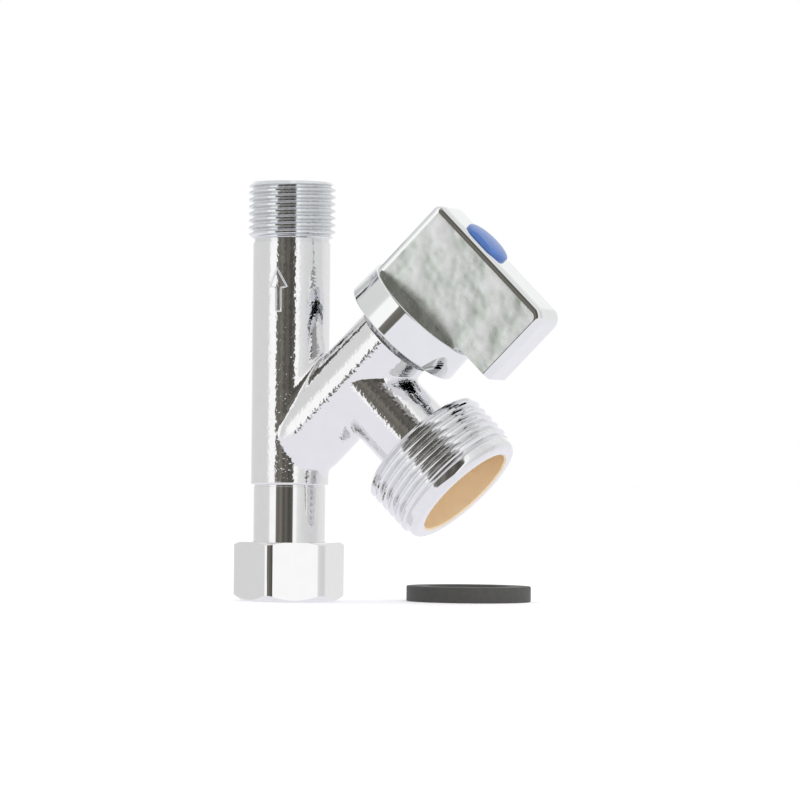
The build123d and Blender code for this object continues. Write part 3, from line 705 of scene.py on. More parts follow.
@dataclass
class ValveBody:
    """The forged body: cast skin, turned tail, two threads, and the bored waterways.

    All sizes are in millimetres, and heights on boss and outlet count from the foot of their axes.
    """

    # the tube, its bore, and the turned band between its skin and the top thread
    tube_r: float = 7.45
    bore_r: float = 5.25
    bore_foot: float = -2.0
    bore_head: float = 90.0
    collar_z: float = 22.2
    band: float = 0.6
    relief_z: float = 68.4
    relief_depth: float = 0.25
    # the top thread, coned at its foot and chamfered at its rim
    thread_z: float = 69.3
    top_z: float = 80.0
    top_crest: float = 8.33
    top_foot_depth: float = 0.9
    top_foot_rise: float = 0.7
    top_chamfer: float = 0.75
    top_mouth: float = 0.35
    # the tail that the nut slides on, its snap ring's groove, and a shallow neck under the collar
    tail_r: float = 6.9
    tail_z: float = 6.3
    tail_ease: float = 0.25
    groove_r: float = 6.2
    groove_low: float = 7.3
    groove_high: float = 8.3
    neck_depth: float = 0.12
    neck_low: float = 0.35
    neck_high: float = 0.3
    collar_ease: float = 0.3
    # the boss, and radius and upper height of each step of the bore for the headwork
    boss_r: float = 7.9
    boss_foot: float = -1.5
    boss_round: float = 6.4
    boss_end: float = 30.3
    headwork_steps: tuple[tuple[float, float], ...] = ((3.1, 14.8), (5.5, 25.8), (6, 29.2), (6.45, 32))
    # the outlet: skin, thread, plain leading ring, bore and bare cup
    outlet_r: float = 7.7
    outlet_start: float = 17.7
    outlet_end: float = 30.4
    outlet_crest: float = 13.22
    outlet_chamfer: float = 0.8
    outlet_ring: float = 2.2
    outlet_ring_r: float = 12.65
    outlet_ring_foot: float = 0.6
    outlet_ring_round: float = 1.2
    outlet_bore_r: float = 5.2
    cup_r: float = 9.9
    cup_floor: float = 19.4
    cup_cone: float = 2.714
    cup_mouth: float = 0.3
    # how far blanks lap over, how sharp a turned edge is, and how much bigger than its blank a screw
    # is wound; a bore's faces are found within the same spare
    lap: float = 0.1
    edge: float = 0.1
    spare: float = 0.05
    # how the branches' skins are melted together, given their swells and faced off
    voxel: float = 0.25
    seam_hollow: float = 0.12
    seam_reach: int = 5
    seam_passes: int = 45
    swell: float = 0.9
    swell_height: float = 0.012
    facing_r: float = 9.0
    facing_t: float = 3.0
    # the flow arrow's outline, as degrees round the tube and height, and its raised line
    arrow: tuple[tuple[float, float], ...] = (
        (-88.6, 63.3), (-73.8, 59.9), (-82.8, 59.6), (-82.4, 55.2), (-89.6, 55.2), (-90.0, 59.6),
        (-100.0, 59.9), (-88.6, 63.3))
    arrow_parts: int = 6
    arrow_lift: float = 0.02
    arrow_line_r: float = 0.2

    def build(self) -> None:
        """Builds every piece of the body."""
        for piece in (self.skin(), self.tail(), self.top_thread(), self.outlet_thread()):
            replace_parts(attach(piece, "valve_body"), "valve_body")
            log.info("body piece %s, %d faces", piece.name, len(piece.data.polygons))

    def skin(self) -> bpy.types.Object:
        """Melts tube, boss and outlet into one cast skin, then bores it.

        Returns:
            The bored skin, with the flow arrow on it.
        """
        tube = stack("body_cast_skin", self.collar_z - OVERRUN, [(self.tube_r, self.relief_z + OVERRUN)])
        boss = turn_up("boss", [
            Corner(0, self.boss_foot), Corner(self.boss_r, self.boss_foot, self.boss_round),
            Corner(self.boss_r, self.boss_end + OVERRUN), Corner(0, self.boss_end + OVERRUN)], BOSS)
        outlet = stack("outlet", 0, [(self.outlet_r, self.outlet_start + OVERRUN)], OUTLET)
        skin = combine(combine(tube, boss, Cut.JOIN), outlet, Cut.JOIN)
        apply(skin, "REMESH", mode="VOXEL", voxel_size=self.voxel * MM, use_smooth_shade=True)
        self.melt_seams(skin)
        apply(skin, "SMOOTH", factor=0.5, iterations=4)
        self.roughen(skin)
        for low, high, place in ((self.collar_z - self.facing_t, self.collar_z + self.band, UPRIGHT),
                                 (self.relief_z, self.relief_z + self.facing_t, UPRIGHT),
                                 (self.boss_end, self.boss_end + self.facing_t, BOSS),
                                 (self.outlet_start, self.outlet_start + self.facing_t, OUTLET)):
            combine(skin, stack("facing", low, [(self.facing_r, high)], place), Cut.TAKE)
        combine(skin, self.flow_arrow(), Cut.JOIN)
        dress(skin, CAST_CHROME, BORED_BRASS)
        for cutter in self.passages():
            combine(skin, cutter, Cut.TAKE, finish=1)
        return smooth(skin, degrees=40)

    def melt_seams(self, skin: bpy.types.Object) -> None:
        """Rounds the hollow corners where the branches meet, as a forging die leaves them.

        Args:
            skin: the remeshed skin.
        """
        mesh = skin.data
        hollow = [0.0] * len(mesh.vertices)
        count = [0] * len(mesh.vertices)
        for edge in mesh.edges:
            a, b = edge.vertices
            step = mesh.vertices[b].co - mesh.vertices[a].co
            length = step.length
            hollow[a] += step.dot(mesh.vertices[a].normal) / length
            hollow[b] -= step.dot(mesh.vertices[b].normal) / length
            count[a] += 1
            count[b] += 1
        seams = {i for i, total in enumerate(hollow) if count[i] and total / count[i] > self.seam_hollow}
        edit_where(skin, "verts", lambda v: v.index in seams)
        for _ in range(self.seam_reach):
            bpy.ops.mesh.select_more()
        bpy.ops.mesh.vertices_smooth(factor=0.5, repeat=self.seam_passes)
        bpy.ops.object.mode_set(mode="OBJECT")

    def roughen(self, skin: bpy.types.Object) -> None:
        """Gives the skin the low swells of a forging, which the plating follows.

        Args:
            skin: the remeshed skin.
        """
        swells = bpy.data.textures.new("forged_swells", "CLOUDS")
        swells.noise_scale = self.swell * MM
        swells.noise_depth = 1
        apply(skin, "DISPLACE", texture=swells, texture_coords="LOCAL",
              strength=self.swell_height * MM, mid_level=0.6)

    def flow_arrow(self) -> bpy.types.Object:
        """Draws the raised outline of the flow arrow, lying half sunk in the tube's front.

        Returns:
            The arrow's line as a closed tube.
        """
        radius_mm, parts, points = self.tube_r + self.arrow_lift, self.arrow_parts, []
        for (a0, z0), (a1, z1) in zip(self.arrow, self.arrow[1:]):
            points += [(a0 + (a1 - a0) * k / parts, z0 + (z1 - z0) * k / parts) for k in range(parts)]
        flat = [(radius_mm * math.cos(math.radians(a)) * MM, z * MM) for a, z in points]
        arrow = draw_line("flow_arrow", flat, closed=True)
        bpy.ops.object.mode_set(mode="OBJECT")
        # wrapped round the front of the tube, which faces -Y
        radius = radius_mm * MM
        for vertex in arrow.data.vertices:
            vertex.co.y = -math.sqrt(max(radius ** 2 - vertex.co.x ** 2, 0))
        only(arrow)
        bpy.ops.object.convert(target="CURVE")
        arrow.data.bevel_depth = self.arrow_line_r * MM
        arrow.data.bevel_resolution = 3
        arrow.data.fill_mode = "FULL"
        bpy.ops.object.convert(target="MESH")
        edit_where(arrow, "verts", lambda v: True)
        bpy.ops.mesh.remove_doubles(threshold=MERGE)
        bpy.ops.mesh.normals_make_consistent(inside=False)
        bpy.ops.object.mode_set(mode="OBJECT")
        return arrow

    def passages(self) -> list[bpy.types.Object]:
        """Makes the solids that bore the through tube, the boss and the outlet.

        Returns:
            The solids to take away.
        """
        through = stack("through_bore", self.bore_foot, [(self.bore_r, self.bore_head)])
        headwork = stack("headwork_bore", 0, self.headwork_steps, BOSS)
        return [through, headwork, self.outlet_bore()]

    def outlet_bore(self) -> bpy.types.Object:
        """Makes the solid that bores the outlet, with its wide cup and its eased mouth."""
        end, wall, ease = self.outlet_end, self.cup_r, self.cup_mouth
        return turn_up("outlet_bore", [
            Corner(0, 0), Corner(self.outlet_bore_r, 0),
            Corner(self.outlet_bore_r, self.cup_floor - self.cup_cone), Corner(wall, self.cup_floor),
            Corner(wall, end - ease), Corner(wall + ease, end),
            Corner(wall + ease + OVERRUN, end + OVERRUN), Corner(0, end + OVERRUN)], OUTLET)

    def tail(self) -> bpy.types.Object:
        """Turns the tail that the nut slides on, with its ring groove, up to the round-edged collar.

        Returns:
            The finished tail.
        """
        low, high, collar = self.groove_low, self.groove_high, self.collar_z
        neck_r = self.tail_r - self.neck_depth
        tail = turn_up("body_turned_tail", [
            Corner(self.bore_r, self.tail_z), Corner(self.tail_r, self.tail_z, self.tail_ease),
            Corner(self.tail_r, low), Corner(self.groove_r, low), Corner(self.groove_r, high),
            Corner(self.tail_r, high), Corner(self.tail_r, collar - self.neck_low),
            Corner(neck_r, collar - self.neck_high), Corner(neck_r, collar),
            Corner(self.tube_r, collar, self.collar_ease), Corner(self.tube_r, collar + self.band),
            Corner(self.bore_r, collar + self.band)], ring=True)
        dress(tail, TURNED_CHROME, BORED_BRASS)
        paint_bore(tail, self.bore_r + self.spare)
        return smooth(tail)

    def top_thread(self) -> bpy.types.Object:
        """Cuts the G 3/8 thread at the top, with the turned band under it.

        Returns:
            The finished thread and band.
        """
        foot, rim, crest = self.thread_z, self.top_z, self.top_crest
        blank = turn_up("top_blank", [
            Corner(self.bore_r, foot - self.lap), Corner(crest - self.top_foot_depth, foot - self.lap),
            Corner(crest, foot + self.top_foot_rise), Corner(crest, rim - self.top_chamfer),
            Corner(crest - self.top_chamfer, rim, self.edge), Corner(self.bore_r + self.top_mouth, rim),
            Corner(self.bore_r, rim - self.top_mouth)], ring=True)
        thread = wind_thread("body_top_thread", crest + self.spare, FINE_PITCH, foot, rim - foot)
        combine(thread, blank, Cut.KEEP)
        relief_r = self.tube_r - self.relief_depth
        band = turn_up("relief_band", [
            Corner(self.bore_r, self.relief_z), Corner(relief_r, self.relief_z),
            Corner(relief_r, foot), Corner(self.bore_r, foot)], ring=True)
        combine(thread, band, Cut.JOIN)
        dress(thread, FINE_THREAD_CHROME, BORED_BRASS)
        paint_bore(thread, self.bore_r + self.spare)
        return smooth(thread, degrees=25)

    def outlet_thread(self) -> bpy.types.Object:
        """Cuts the G 3/4 thread of the outlet, with its plain leading ring and bare brass cup.

        Returns:
            The finished end of the outlet.
        """
        start, end, ring = self.outlet_start, self.outlet_end, self.outlet_end - self.outlet_ring
        crest, ring_r, chamfer = self.outlet_crest, self.outlet_ring_r, self.outlet_chamfer
        blank = turn_up("outlet_blank", [
            Corner(0, start), Corner(crest - chamfer, start, self.edge), Corner(crest, start + chamfer),
            Corner(crest, ring - crest + ring_r), Corner(ring_r - self.lap, ring + self.lap),
            Corner(0, ring + self.lap)], OUTLET)
        thread = wind_thread("body_outlet_thread", crest + self.spare, COARSE_PITCH, start, end - start,
                             OUTLET, steps=128)
        combine(thread, blank, Cut.KEEP)
        foot = self.outlet_ring_foot
        lead = turn_up("lead_ring", [
            Corner(0, ring - foot), Corner(ring_r - foot, ring - foot), Corner(ring_r, ring),
            Corner(ring_r, end, self.outlet_ring_round), Corner(0, end)], OUTLET)
        combine(thread, lead, Cut.JOIN)
        dress(thread, THREAD_CHROME, OUTLET_BRASS)
        combine(thread, self.outlet_bore(), Cut.TAKE, finish=1)
        return smooth(thread, degrees=25)


@dataclass
class SwivelNut:
    """The loose hexagon nut at the foot, with its inner thread, in millimetres."""

    # the hexagon bar: its corners' round, and how far in and along each end's turned cone reaches
    flats: float = 19.0
    height: float = 11.3
    corner_round: float = 2.2
    foot_cone: tuple[float, float] = (1.9, 1.75)
    foot_ease: float = 0.3
    top_cone: tuple[float, float] = (1.2, 0.95)
    top_ease: float = 0.2
    cone_reach: float = 0.3
    edge: float = 0.14
    # the bore: coned mouth, thread, relief behind it, and the lip that rests on the slip washer
    thread_r: float = 8.37
    thread_length: float = 4.7
    thread_depth: float = 0.75
    mouth: float = 0.35
    mouth_height: float = 0.95
    relief_r: float = 8.62
    relief_ease: float = 0.15
    lip_z: float = 8.9
    lip_r: float = 6.95
    lip_ease: float = 0.3
    gauge_r: float = 9.0
    gauge_foot: float = -0.5
    # area from which a face is a flat of the hexagon, in square millimetres
    broad_face: float = 9.0

    def build(self) -> None:
        """Builds the nut from a hexagon bar: rounded corners, coned ends, bore and thread."""
        nut = self.bar()
        dress(nut, NUT_CHROME, BORED_BRASS)
        combine(nut, self.bore(), Cut.TAKE, finish=1)
        thread = wind_thread("tap", self.thread_r, FINE_PITCH, 0, self.thread_length)
        gauge = stack("gauge", self.gauge_foot, [(self.gauge_r, self.thread_length)])
        combine(thread, gauge, Cut.KEEP)
        combine(nut, thread, Cut.TAKE, finish=1)
        smooth(nut, degrees=28, broad_mm2=self.broad_face)
        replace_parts(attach(nut, "swivel_nut"), "swivel_nut")
        log.info("nut %s, %d faces", nut.name, len(nut.data.polygons))

    def bar(self) -> bpy.types.Object:
        """Cuts the length of hexagon bar, rounds its six corners and cones both its ends.

        Returns:
            The nut's outside, still solid.
        """
        corner_r = self.flats / math.sqrt(3)
        clear()
        bpy.ops.mesh.primitive_cylinder_add(vertices=6, radius=corner_r * MM, depth=self.height * MM,
                                            location=(0, 0, self.height / 2 * MM))
        nut = bpy.context.view_layer.objects.active
        nut.name = "swivel_nut_hexagon"
        settle(nut)
        edit_where(nut, "edges", lambda e: abs(e.verts[0].co.z - e.verts[1].co.z) > MM)
        # a hexagon turns by 60 degrees at a corner, so a round reaches tan 30 of its radius each way
        bpy.ops.mesh.bevel(offset=self.corner_round * math.tan(math.radians(30)) * MM, segments=10)
        bpy.ops.object.mode_set(mode="OBJECT")
        outer_r = corner_r + self.cone_reach
        (foot_in, foot_up), (top_in, top_down) = self.foot_cone, self.top_cone
        cone = turn_up("cone", [
            Corner(0, 0), Corner(corner_r - foot_in, 0, self.foot_ease), Corner(outer_r, foot_up),
            Corner(outer_r, self.height - top_down), Corner(corner_r - top_in, self.height, self.top_ease),
            Corner(0, self.height)])
        combine(nut, cone, Cut.KEEP)
        apply(nut, "BEVEL", width=self.edge * MM, segments=2, limit_method="ANGLE",
              angle_limit=math.radians(24))
        return nut

    def bore(self) -> bpy.types.Object:
        """Makes the solid that bores the nut from its mouth to its lip.

        Returns:
            The solid to take away.
        """
        mouth_r, core_r = self.thread_r + self.mouth, self.thread_r - self.thread_depth
        rim_r = self.lip_r + self.lip_ease
        return turn_up("bore", [
            Corner(0, -OVERRUN), Corner(mouth_r, -OVERRUN), Corner(mouth_r, 0),
            Corner(core_r, self.mouth_height), Corner(core_r, self.thread_length),
            Corner(self.relief_r, self.thread_length), Corner(self.relief_r, self.lip_z, self.relief_ease),
            Corner(self.lip_r, self.lip_z), Corner(self.lip_r, self.height - self.lip_ease),
            Corner(rim_r, self.height), Corner(rim_r + OVERRUN, self.height + OVERRUN),
            Corner(0, self.height + OVERRUN)], steps=96)


@dataclass
class Lever:
    """The die-cast handle: a round hub with a cored bar across it.

    Sizes are in millimetres, heights count up the boss axis, and X runs along the outlet.
    """

    # the hub, drawn in a little towards its top, with a shallow cone up to the bar
    hub_r: float = 12.5
    hub_draft: float = 0.25
    foot: float = 32.4
    foot_ease: float = 0.35
    rim: float = 38.9
    rim_ease: float = 0.3
    shoulder: float = 39.8
    crown: float = 0.3
    # the bar, which starts inside the hub
    root: float = 38.5
    top: float = 56.2
    short_arm: float = 11.0
    long_arm: float = 19.8
    half: float = 5.15
    nose_round: float = 2.6
    tail_round: float = 1.8
    edge_round: float = 1.7
    edge_fullness: float = 0.62
    # what cores the casting: recess, pocket round the screw's post, nose, and the spindle's socket
    # with the screw's holes above it, as radius and upper height of each step
    recess_r: float = 9.5
    recess_roof: float = 37.6
    recess_ease: float = 0.3
    core_half: float = 3.35
    pocket_reach: float = 8.9
    pocket_foot: float = 37.5
    pocket_roof: float = 54.0
    post_r: float = 4.7
    post_foot: float = 38.2
    post_ease: float = 0.2
    post_head: float = 60.0
    nose_from: float = 13.5
    nose_to: float = 17.6
    nose_roof: float = 53.0
    nose_lap: float = 2.0
    socket_foot: float = 38.0
    socket_steps: tuple[tuple[float, float], ...] = ((3.45, 46.4), (2.15, 51.4), (3.75, 58))
    # how square a face has to look sideways to be a rubbed side, how deep it may lie, and how
    # straight up the boss a face of the unpolished cone looks
    side_on: float = 0.999
    side_depth: float = 0.1
    cone_on: float = 0.9
    # area from which a face counts as broad, in square millimetres
    broad_face: float = 9.0

    def build(self) -> None:
        """Builds hub and bar, joins them, and cores them from below."""
        lever = self.bar()
        combine(lever, self.hub(), Cut.JOIN)
        for cutter in self.cores():
            combine(lever, cutter, Cut.TAKE)
        settle(lever, BOSS)
        self.paint(lever)
        smooth(lever, degrees=30, broad_mm2=self.broad_face)
        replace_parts(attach(lever, "handle"), "handle")
        log.info("lever %s, %d faces", lever.name, len(lever.data.polygons))

    def paint(self, lever: bpy.types.Object) -> None:
        """Buffs the lever all over but for the rubbed sides of the bar, whose colour clouds are a painted
        reflection, and the hub's rough cone.

        Args:
            lever: the lever, in its place.
        """
        dress(lever, LEVER_CHROME, RUBBED_CHROME_PAINTED_REFLECTION, CONE_CHROME)
        rubbed, rough = 1, 2
        for face in lever.data.polygons:
            height = (face.center - CROSSING).dot(BOSS_DIR) / MM
            if abs(face.normal.y) > self.side_on and abs(face.center.y) > (self.half - self.side_depth) * MM:
                face.material_index = rubbed
            elif self.rim < height < self.shoulder and face.normal.dot(BOSS_DIR) > self.cone_on:
                face.material_index = rough

    def bar(self) -> bpy.types.Object:
        """Rounds a block: nose and tail first, then both sides' edges, and frees the nose's underside.

        Returns:
            The bar, still solid and upright.
        """
        bar = block("lever_casting", (-self.short_arm, -self.half, self.root),
                    (self.long_arm, self.half, self.top))
        for along, radius in ((self.long_arm, self.nose_round), (-self.short_arm, self.tail_round)):
            edit_where(bar, "edges", lambda e: all(
                abs(v.co.x - along * MM) < MERGE and abs(v.co.z - self.top * MM) < MERGE for v in e.verts))
            bpy.ops.mesh.bevel(offset=radius * MM, segments=8)
            bpy.ops.object.mode_set(mode="OBJECT")
        foot = self.root * MM + MERGE
        edit_where(bar, "edges", lambda e: all(abs(abs(v.co.y) - self.half * MM) < MERGE for v in e.verts)
                   and e.verts[0].co.y * e.verts[1].co.y > 0 and max(v.co.z for v in e.verts) > foot)
        bpy.ops.mesh.bevel(offset=self.edge_round * MM, segments=12, profile=self.edge_fullness)
        bpy.ops.object.mode_set(mode="OBJECT")
        overhang = block("overhang", (self.short_arm, -self.half - OVERRUN, self.root - OVERRUN),
                         (self.long_arm + OVERRUN, self.half + OVERRUN, self.shoulder))
        return combine(bar, overhang, Cut.TAKE)

    def hub(self) -> bpy.types.Object:
        """Turns the hub, drawn in a little towards its top so that it leaves the die."""
        return turn_up("hub", [
            Corner(0, self.foot), Corner(self.hub_r, self.foot, self.foot_ease),
            Corner(self.hub_r - self.hub_draft, self.rim, self.rim_ease), Corner(self.half, self.shoulder),
            Corner(0, self.shoulder + self.crown)])

    def cores(self) -> list[bpy.types.Object]:
        """Makes the solids that core the casting: recess, pocket round the post, nose, screw hole.

        Returns:
            The solids to take away.
        """
        recess = turn_up("recess", [
            Corner(0, self.foot - OVERRUN), Corner(self.recess_r, self.foot - OVERRUN),
            Corner(self.recess_r, self.recess_roof, self.recess_ease), Corner(0, self.recess_roof)])
        pocket = block("pocket", (-self.pocket_reach, -self.core_half, self.pocket_foot),
                       (self.pocket_reach, self.core_half, self.pocket_roof))
        post = turn_up("post", [
            Corner(0, self.post_foot), Corner(self.post_r, self.post_foot, self.post_ease),
            Corner(self.post_r, self.post_head), Corner(0, self.post_head)])
        combine(pocket, post, Cut.TAKE)
        nose = block("nose", (self.nose_from, -self.core_half, self.shoulder - self.nose_lap),
                     (self.nose_to, self.core_half, self.nose_roof))
        socket = stack("socket", self.socket_foot, self.socket_steps, steps=64)
        return [recess, pocket, nose, socket]


@dataclass
class IndexCap:
    """The blue cap in the top of the bar, in millimetres."""

    bar_top: float = 56.2
    recess_r: float = 3.7
    plug: float = 2.0
    r: float = 4.8
    flats: float = 7.8
    rim: float = 0.45
    rise: float = 1.4
    ease: float = 0.18
    # the dome's outline is a quarter round in this many parts
    dome_parts: int = 10
    # the block that leaves the cap between its flats reaches past it this far
    keep_reach: float = 8.0
    keep_rise: float = 4.0
    # area from which a face counts as broad, in square millimetres
    broad_face: float = 1.5

    def build(self) -> None:
        """Turns the dome, cuts its two flats along the bar and eases every edge."""
        foot, brim = self.bar_top - self.plug, self.bar_top + self.rim
        outline = [Corner(0, foot), Corner(self.recess_r, foot), Corner(self.recess_r, self.bar_top),
                   Corner(self.r, self.bar_top), Corner(self.r, brim)]
        for k in range(1, self.dome_parts):
            angle = math.radians(90 / self.dome_parts * k)
            outline.append(Corner(self.r * math.cos(angle), brim + (self.rise - self.rim) * math.sin(angle)))
        cap = turn_up("index_cap_dome", outline + [Corner(0, self.bar_top + self.rise)], steps=96)
        keep = block("keep", (-self.keep_reach, -self.flats / 2, self.bar_top - self.keep_rise),
                     (self.keep_reach, self.flats / 2, self.bar_top + self.keep_rise))
        combine(cap, keep, Cut.KEEP)
        apply(cap, "BEVEL", width=self.ease * MM, segments=3, limit_method="ANGLE",
              angle_limit=math.radians(30))
        settle(cap, BOSS)
        dress(cap, BLUE_ABS)
        smooth(cap, degrees=30, broad_mm2=self.broad_face)
        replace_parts(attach(cap, "handle"), "index_cap")
        log.info("cap %s, %d faces", cap.name, len(cap.data.polygons))


@dataclass
class HoseWasher:
    """The flat washer of the hose, lying beside the valve, in millimetres."""

    x: float = 29.6
    y: float = 19.0
    outer: float = 12.0
    inner: float = 8.0
    thickness: float = 3.0
    ease: float = 0.22

    def build(self) -> None:
        """Turns the ring with the small round edges that its mould leaves."""
        washer = turn_up("hose_washer_ring", [
            Corner(self.inner, 0, self.ease), Corner(self.outer, 0, self.ease),
            Corner(self.outer, self.thickness, self.ease), Corner(self.inner, self.thickness, self.ease)],
            Matrix.Translation((self.x * MM, self.y * MM, 0)), ring=True)
        dress(washer, EPDM)
        smooth(washer)
        # photographed by itself: the valve's chrome doesn't mirror it
        washer.visible_glossy = False
        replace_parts(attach(washer, "valve_body"), "hose_washer")
        log.info("washer %s, %d faces", washer.name, len(washer.data.polygons))


@dataclass
class Headwork:
    """The inner pieces, whose CAD shapes stay and only get their real materials."""

    finishes: dict[str, Finish] = field(default_factory=lambda: {
        "slip_washer": BORED_BRASS, "retaining_ring": SPRING_STEEL, "inlet_seal": EPDM, "bonnet": HEX_CHROME,
        "bonnet_o_ring": NITRILE, "spindle": BAR_BRASS, "spindle_o_ring_lower": NITRILE,
        "spindle_o_ring_upper": NITRILE, "friction_washer": PTFE, "spindle_clip": SPRING_STEEL,
        "moving_disc": ALUMINA, "fixed_disc": ALUMINA, "seat_seal": EPDM, "seal_support_ring": PTFE,
        "handle_screw": ZINC_STEEL,
    })

    def dress(self) -> None:
        """Puts each finish in its node's material slots."""
        for name, finish in self.finishes.items():
            node = frame["nodes"][name]
            for slot in node.material_slots:
                slot.material = finish.material()
            log.info("inner piece %s in %s", name, finish.name)


# Studio

@dataclass(frozen=True)
class Lamp:
    """A wide soft lamp: its name, its middle and the point it faces in millimetres, width and power."""

    name: str
    place: tuple[float, float, float]
    aim: tuple[float, float, float]
    width: float
    watts: float

    def hang(self) -> None:
        """Hangs the lamp where the chrome doesn't mirror it."""
        light = bpy.data.lights.new(self.name, "AREA")
        light.shape = "DISK"
        light.size = self.width * MM
        light.energy = self.watts
        holder = bpy.data.objects.new(self.name, light)
        bpy.context.scene.collection.objects.link(holder)
        middle = Vector(self.place) * MM
        facing = (middle - Vector(self.aim) * MM).to_track_quat("Z", "Y")
        holder.matrix_world = Matrix.Translation(middle) @ facing.to_matrix().to_4x4()
        holder.visible_glossy = False


@dataclass
class Studio:
    """Floor, surroundings, lamps and camera of the picture."""

    # the camera, fitted to the photograph: angles in degrees, distance and aim in millimetres, and
    # focal length in pixels of a picture this wide
    azimuth: float = 21.670
    elevation: float = -0.801
    roll: float = -0.5447
    distance: float = 806.58
    target: tuple[float, float, float] = (22.538, 0.0, 38.497)
    focal_px: float = 4259.56
    frame_px: float = 800.0
    # the floor's paper, and how much it is lifted where the camera sees it
    floor_reach: float = 4000.0
    paper_colour: str = "#F1F0F5"
    paper_lift: float = 0.3
    lamps: tuple[Lamp, ...] = (
        Lamp("soft_lamp", (100, -250, 950), (20, 0, 30), 900, 1.6),
        Lamp("low_fill", (420, -420, 50), (36, 0, 24), 300, 1.3))
    # light of the brightest screen, where chrome clips to white
    white: float = 1.16
    # sRGB grey that chrome shows for each direction of the room, in degrees round from the camera
    stripes: tuple[tuple[float, float], ...] = (
        (-180, 246), (-168, 238), (-158, 226), (-148, 216), (-140, 214), (-74, 214), (-67, 220), (-63, 252),
        (-43.4, 253), (-42.2, 116), (-34, 96), (-26, 118), (-18, 78), (-9, 98), (0, 70), (11.6, 92),
        (13, 253), (22, 252), (27, 228), (45, 216), (75, 208), (96, 212), (112, 226), (136, 230), (150, 226),
        (160, 240), (180, 246))
    # between these heights in degrees the walls fade towards the ceiling, by this share of its grey
    ceiling: tuple[float, float] = (40.0, 44.0)
    ceiling_share: float = 0.35
    ceiling_grey: float = 234.0
    # and between these they end at the lilac-white floor
    skirting: tuple[float, float] = (-3.6, -4.4)
    floor_grey: float = 233.0
    floor_tint: tuple[float, float, float] = (0.985, 0.975, 1.03)
    # greys darker than this are warm
    dark_below: float = 150.0
    dark_tint: tuple[float, float, float] = (1.06, 1.0, 0.88)

    def build(self) -> None:
        """Sets up everything round the object."""
        self.camera()
        self.floor()
        self.surroundings()
        for lamp in self.lamps:
            lamp.hang()
        bpy.context.scene.view_settings.view_transform = "Standard"

    def axes(self) -> tuple[Vector, Vector, Vector]:
        """Gives the camera's right, up and backward directions before it is rolled.

        Returns:
            The three directions.
        """
        a, e = math.radians(self.azimuth), math.radians(self.elevation)
        back = Vector((math.sin(a) * math.cos(e), -math.cos(a) * math.cos(e), math.sin(e)))
        right = Vector((math.cos(a), math.sin(a), 0))
        return right, back.cross(right), back

    def camera(self) -> None:
        """Places the camera as the photograph was taken, rolled by half a degree."""
        right, up, back = self.axes()
        r = math.radians(self.roll)
        across = right * math.cos(r) - up * math.sin(r)
        rise = right * math.sin(r) + up * math.cos(r)
        lens = bpy.data.cameras.new("camera")
        lens.sensor_width = 36
        lens.lens = self.focal_px / self.frame_px * lens.sensor_width
        lens.clip_start, lens.clip_end = 0.01, 50
        view = bpy.data.objects.new("camera", lens)
        bpy.context.scene.collection.objects.link(view)
        turned_axes = Matrix((across, rise, back)).transposed().to_4x4()
        place = Vector(self.target) * MM + back * self.distance * MM
        view.matrix_world = Matrix.Translation(place) @ turned_axes
        bpy.context.scene.camera = view

    def floor(self) -> None:
        """Lays a plain pale floor that the camera sees as white but for the object's shadow."""
        clear()
        bpy.ops.mesh.primitive_circle_add(vertices=96, radius=self.floor_reach * MM, fill_type="NGON")
        floor = bpy.context.view_layer.objects.active
        floor.name = "floor"
        floor.data.materials.append(self.paper())
        floor.visible_glossy = False

    def paper(self) -> bpy.types.Material:
        """Makes the floor's paper: matt near-white, lifted to white where the camera looks at it.

        Returns:
            The material.
        """
        made = bpy.data.materials.new("matt_white_paper")
        made.use_nodes = True
        tree = made.node_tree
        tree.nodes.clear()
        seen = add_node(tree, "ShaderNodeLightPath").outputs["Is Camera Ray"]
        shade = add_node(tree, "ShaderNodeBsdfDiffuse", {"Color": linear(self.paper_colour)})
        lift = add_node(tree, "ShaderNodeMath", {0: seen, 1: self.paper_lift}, operation="MULTIPLY")
        glow = add_node(tree, "ShaderNodeEmission", {"Color": (1, 1, 1, 1), "Strength": lift.outputs[0]})
        both = add_node(tree, "ShaderNodeAddShader", {0: shade.outputs[0], 1: glow.outputs[0]})
        add_node(tree, "ShaderNodeOutputMaterial", {"Surface": both.outputs[0]})
        return made

    def surroundings(self) -> None:
        """Paints the studio round the object, which the chrome mirrors as upright stripes.

        The stripes are fixed to the room: grey wall on the left, a white screen, the dark side where
        the picture was taken, a second white screen, and pale walls on the right and behind. The
        camera itself sees plain white.
        """
        world = bpy.data.worlds.new("studio")
        bpy.context.scene.world = world
        world.use_nodes = True
        tree = world.node_tree
        tree.nodes.clear()
        direction = add_node(tree, "ShaderNodeTexCoord").outputs["Generated"]
        back = self.axes()[2]
        # turned so that the camera's own side is at zero degrees
        toward = math.atan2(back.y, back.x)
        split = add_node(tree, "ShaderNodeSeparateXYZ", {
            0: add_node(tree, "ShaderNodeVectorRotate", {"Vector": direction, "Angle": -toward},
                        rotation_type="Z_AXIS").outputs[0]})
        angle = add_node(tree, "ShaderNodeMath", {0: split.outputs["Y"], 1: split.outputs["X"]},
                         operation="ARCTAN2")
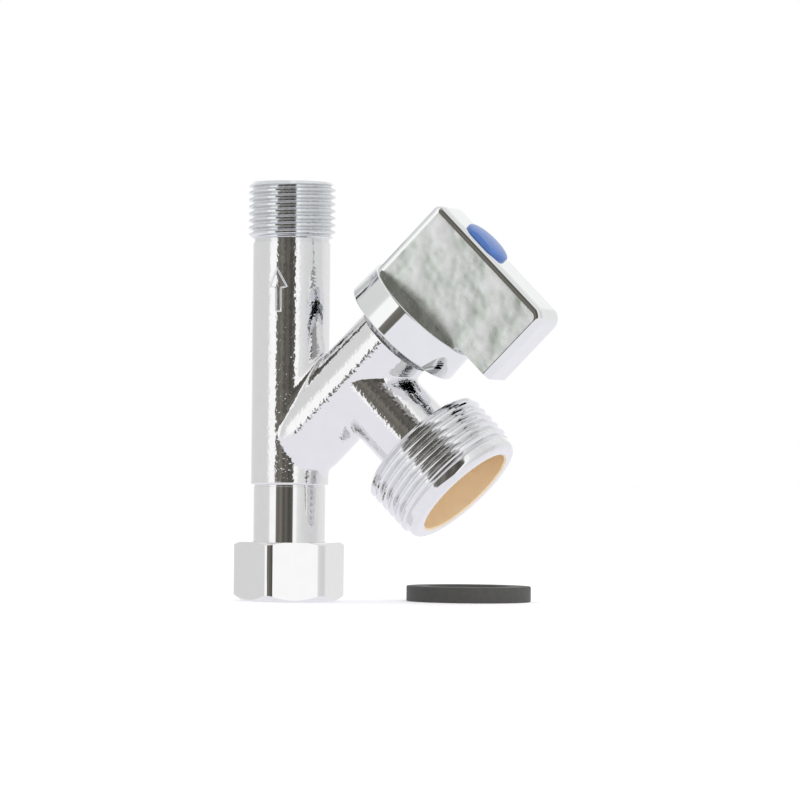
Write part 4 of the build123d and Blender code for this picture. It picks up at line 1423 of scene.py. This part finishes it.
        # half a turn either way becomes 0 to 1, with the camera's side at a half
        share = add_node(tree, "ShaderNodeMath", {0: angle.outputs[0], 1: 1 / math.tau, 2: 0.5},
                         operation="MULTIPLY_ADD").outputs[0]
        wall = ramp(tree, share, [(0.5 + theta / 360, self.grey(value)) for theta, value in self.stripes])
        height = add_node(tree, "ShaderNodeMath", {0: split.outputs["Z"]}, operation="ARCSINE").outputs[0]
        above, below = (
            add_node(tree, "ShaderNodeMapRange", {
                "Value": height, "From Min": math.radians(start), "From Max": math.radians(end),
                "To Max": most}).outputs["Result"]
            for (start, end), most in ((self.ceiling, self.ceiling_share), (self.skirting, 1.0)))
        seen = add_node(tree, "ShaderNodeLightPath").outputs["Is Camera Ray"]
        room = mixed(tree, above, wall, self.grey(self.ceiling_grey))
        room = mixed(tree, below, room, self.tinted(self.floor_grey, self.floor_tint))
        picture = mixed(tree, seen, room, (1, 1, 1, 1))
        glow = add_node(tree, "ShaderNodeBackground", {"Color": picture, "Strength": 1.0})
        add_node(tree, "ShaderNodeOutputWorld", {"Surface": glow.outputs[0]})

    def grey(self, value: float) -> tuple[float, float, float, float]:
        """Gives the room's light that bright chrome shows as this sRGB grey; dark ones are warm."""
        return self.tinted(value, self.dark_tint if value < self.dark_below else (1.0, 1.0, 1.0))

    def tinted(self, value: float, tint: Sequence[float]) -> tuple[float, float, float, float]:
        """Gives the room's light for this sRGB grey, with red, green and blue times this tint.

        Args:
            value: the sRGB grey, from 0 to 255.
            tint: what red, green and blue are multiplied by.

        Returns:
            Linear red, green, blue and alpha.
        """
        level = ((value / 255 + 0.055) / 1.055) ** 2.4 * self.white
        red, green, blue = (level * part for part in tint)
        return red, green, blue, 1.0


def main() -> None:
    """Builds and dresses every sub-assembly in order, then the studio."""
    logging.basicConfig(level=logging.INFO, format="%(message)s")
    ValveBody().build()
    SwivelNut().build()
    Lever().build()
    IndexCap().build()
    HoseWasher().build()
    Headwork().dress()
    Studio().build()


if __name__ == "__main__":
    main()
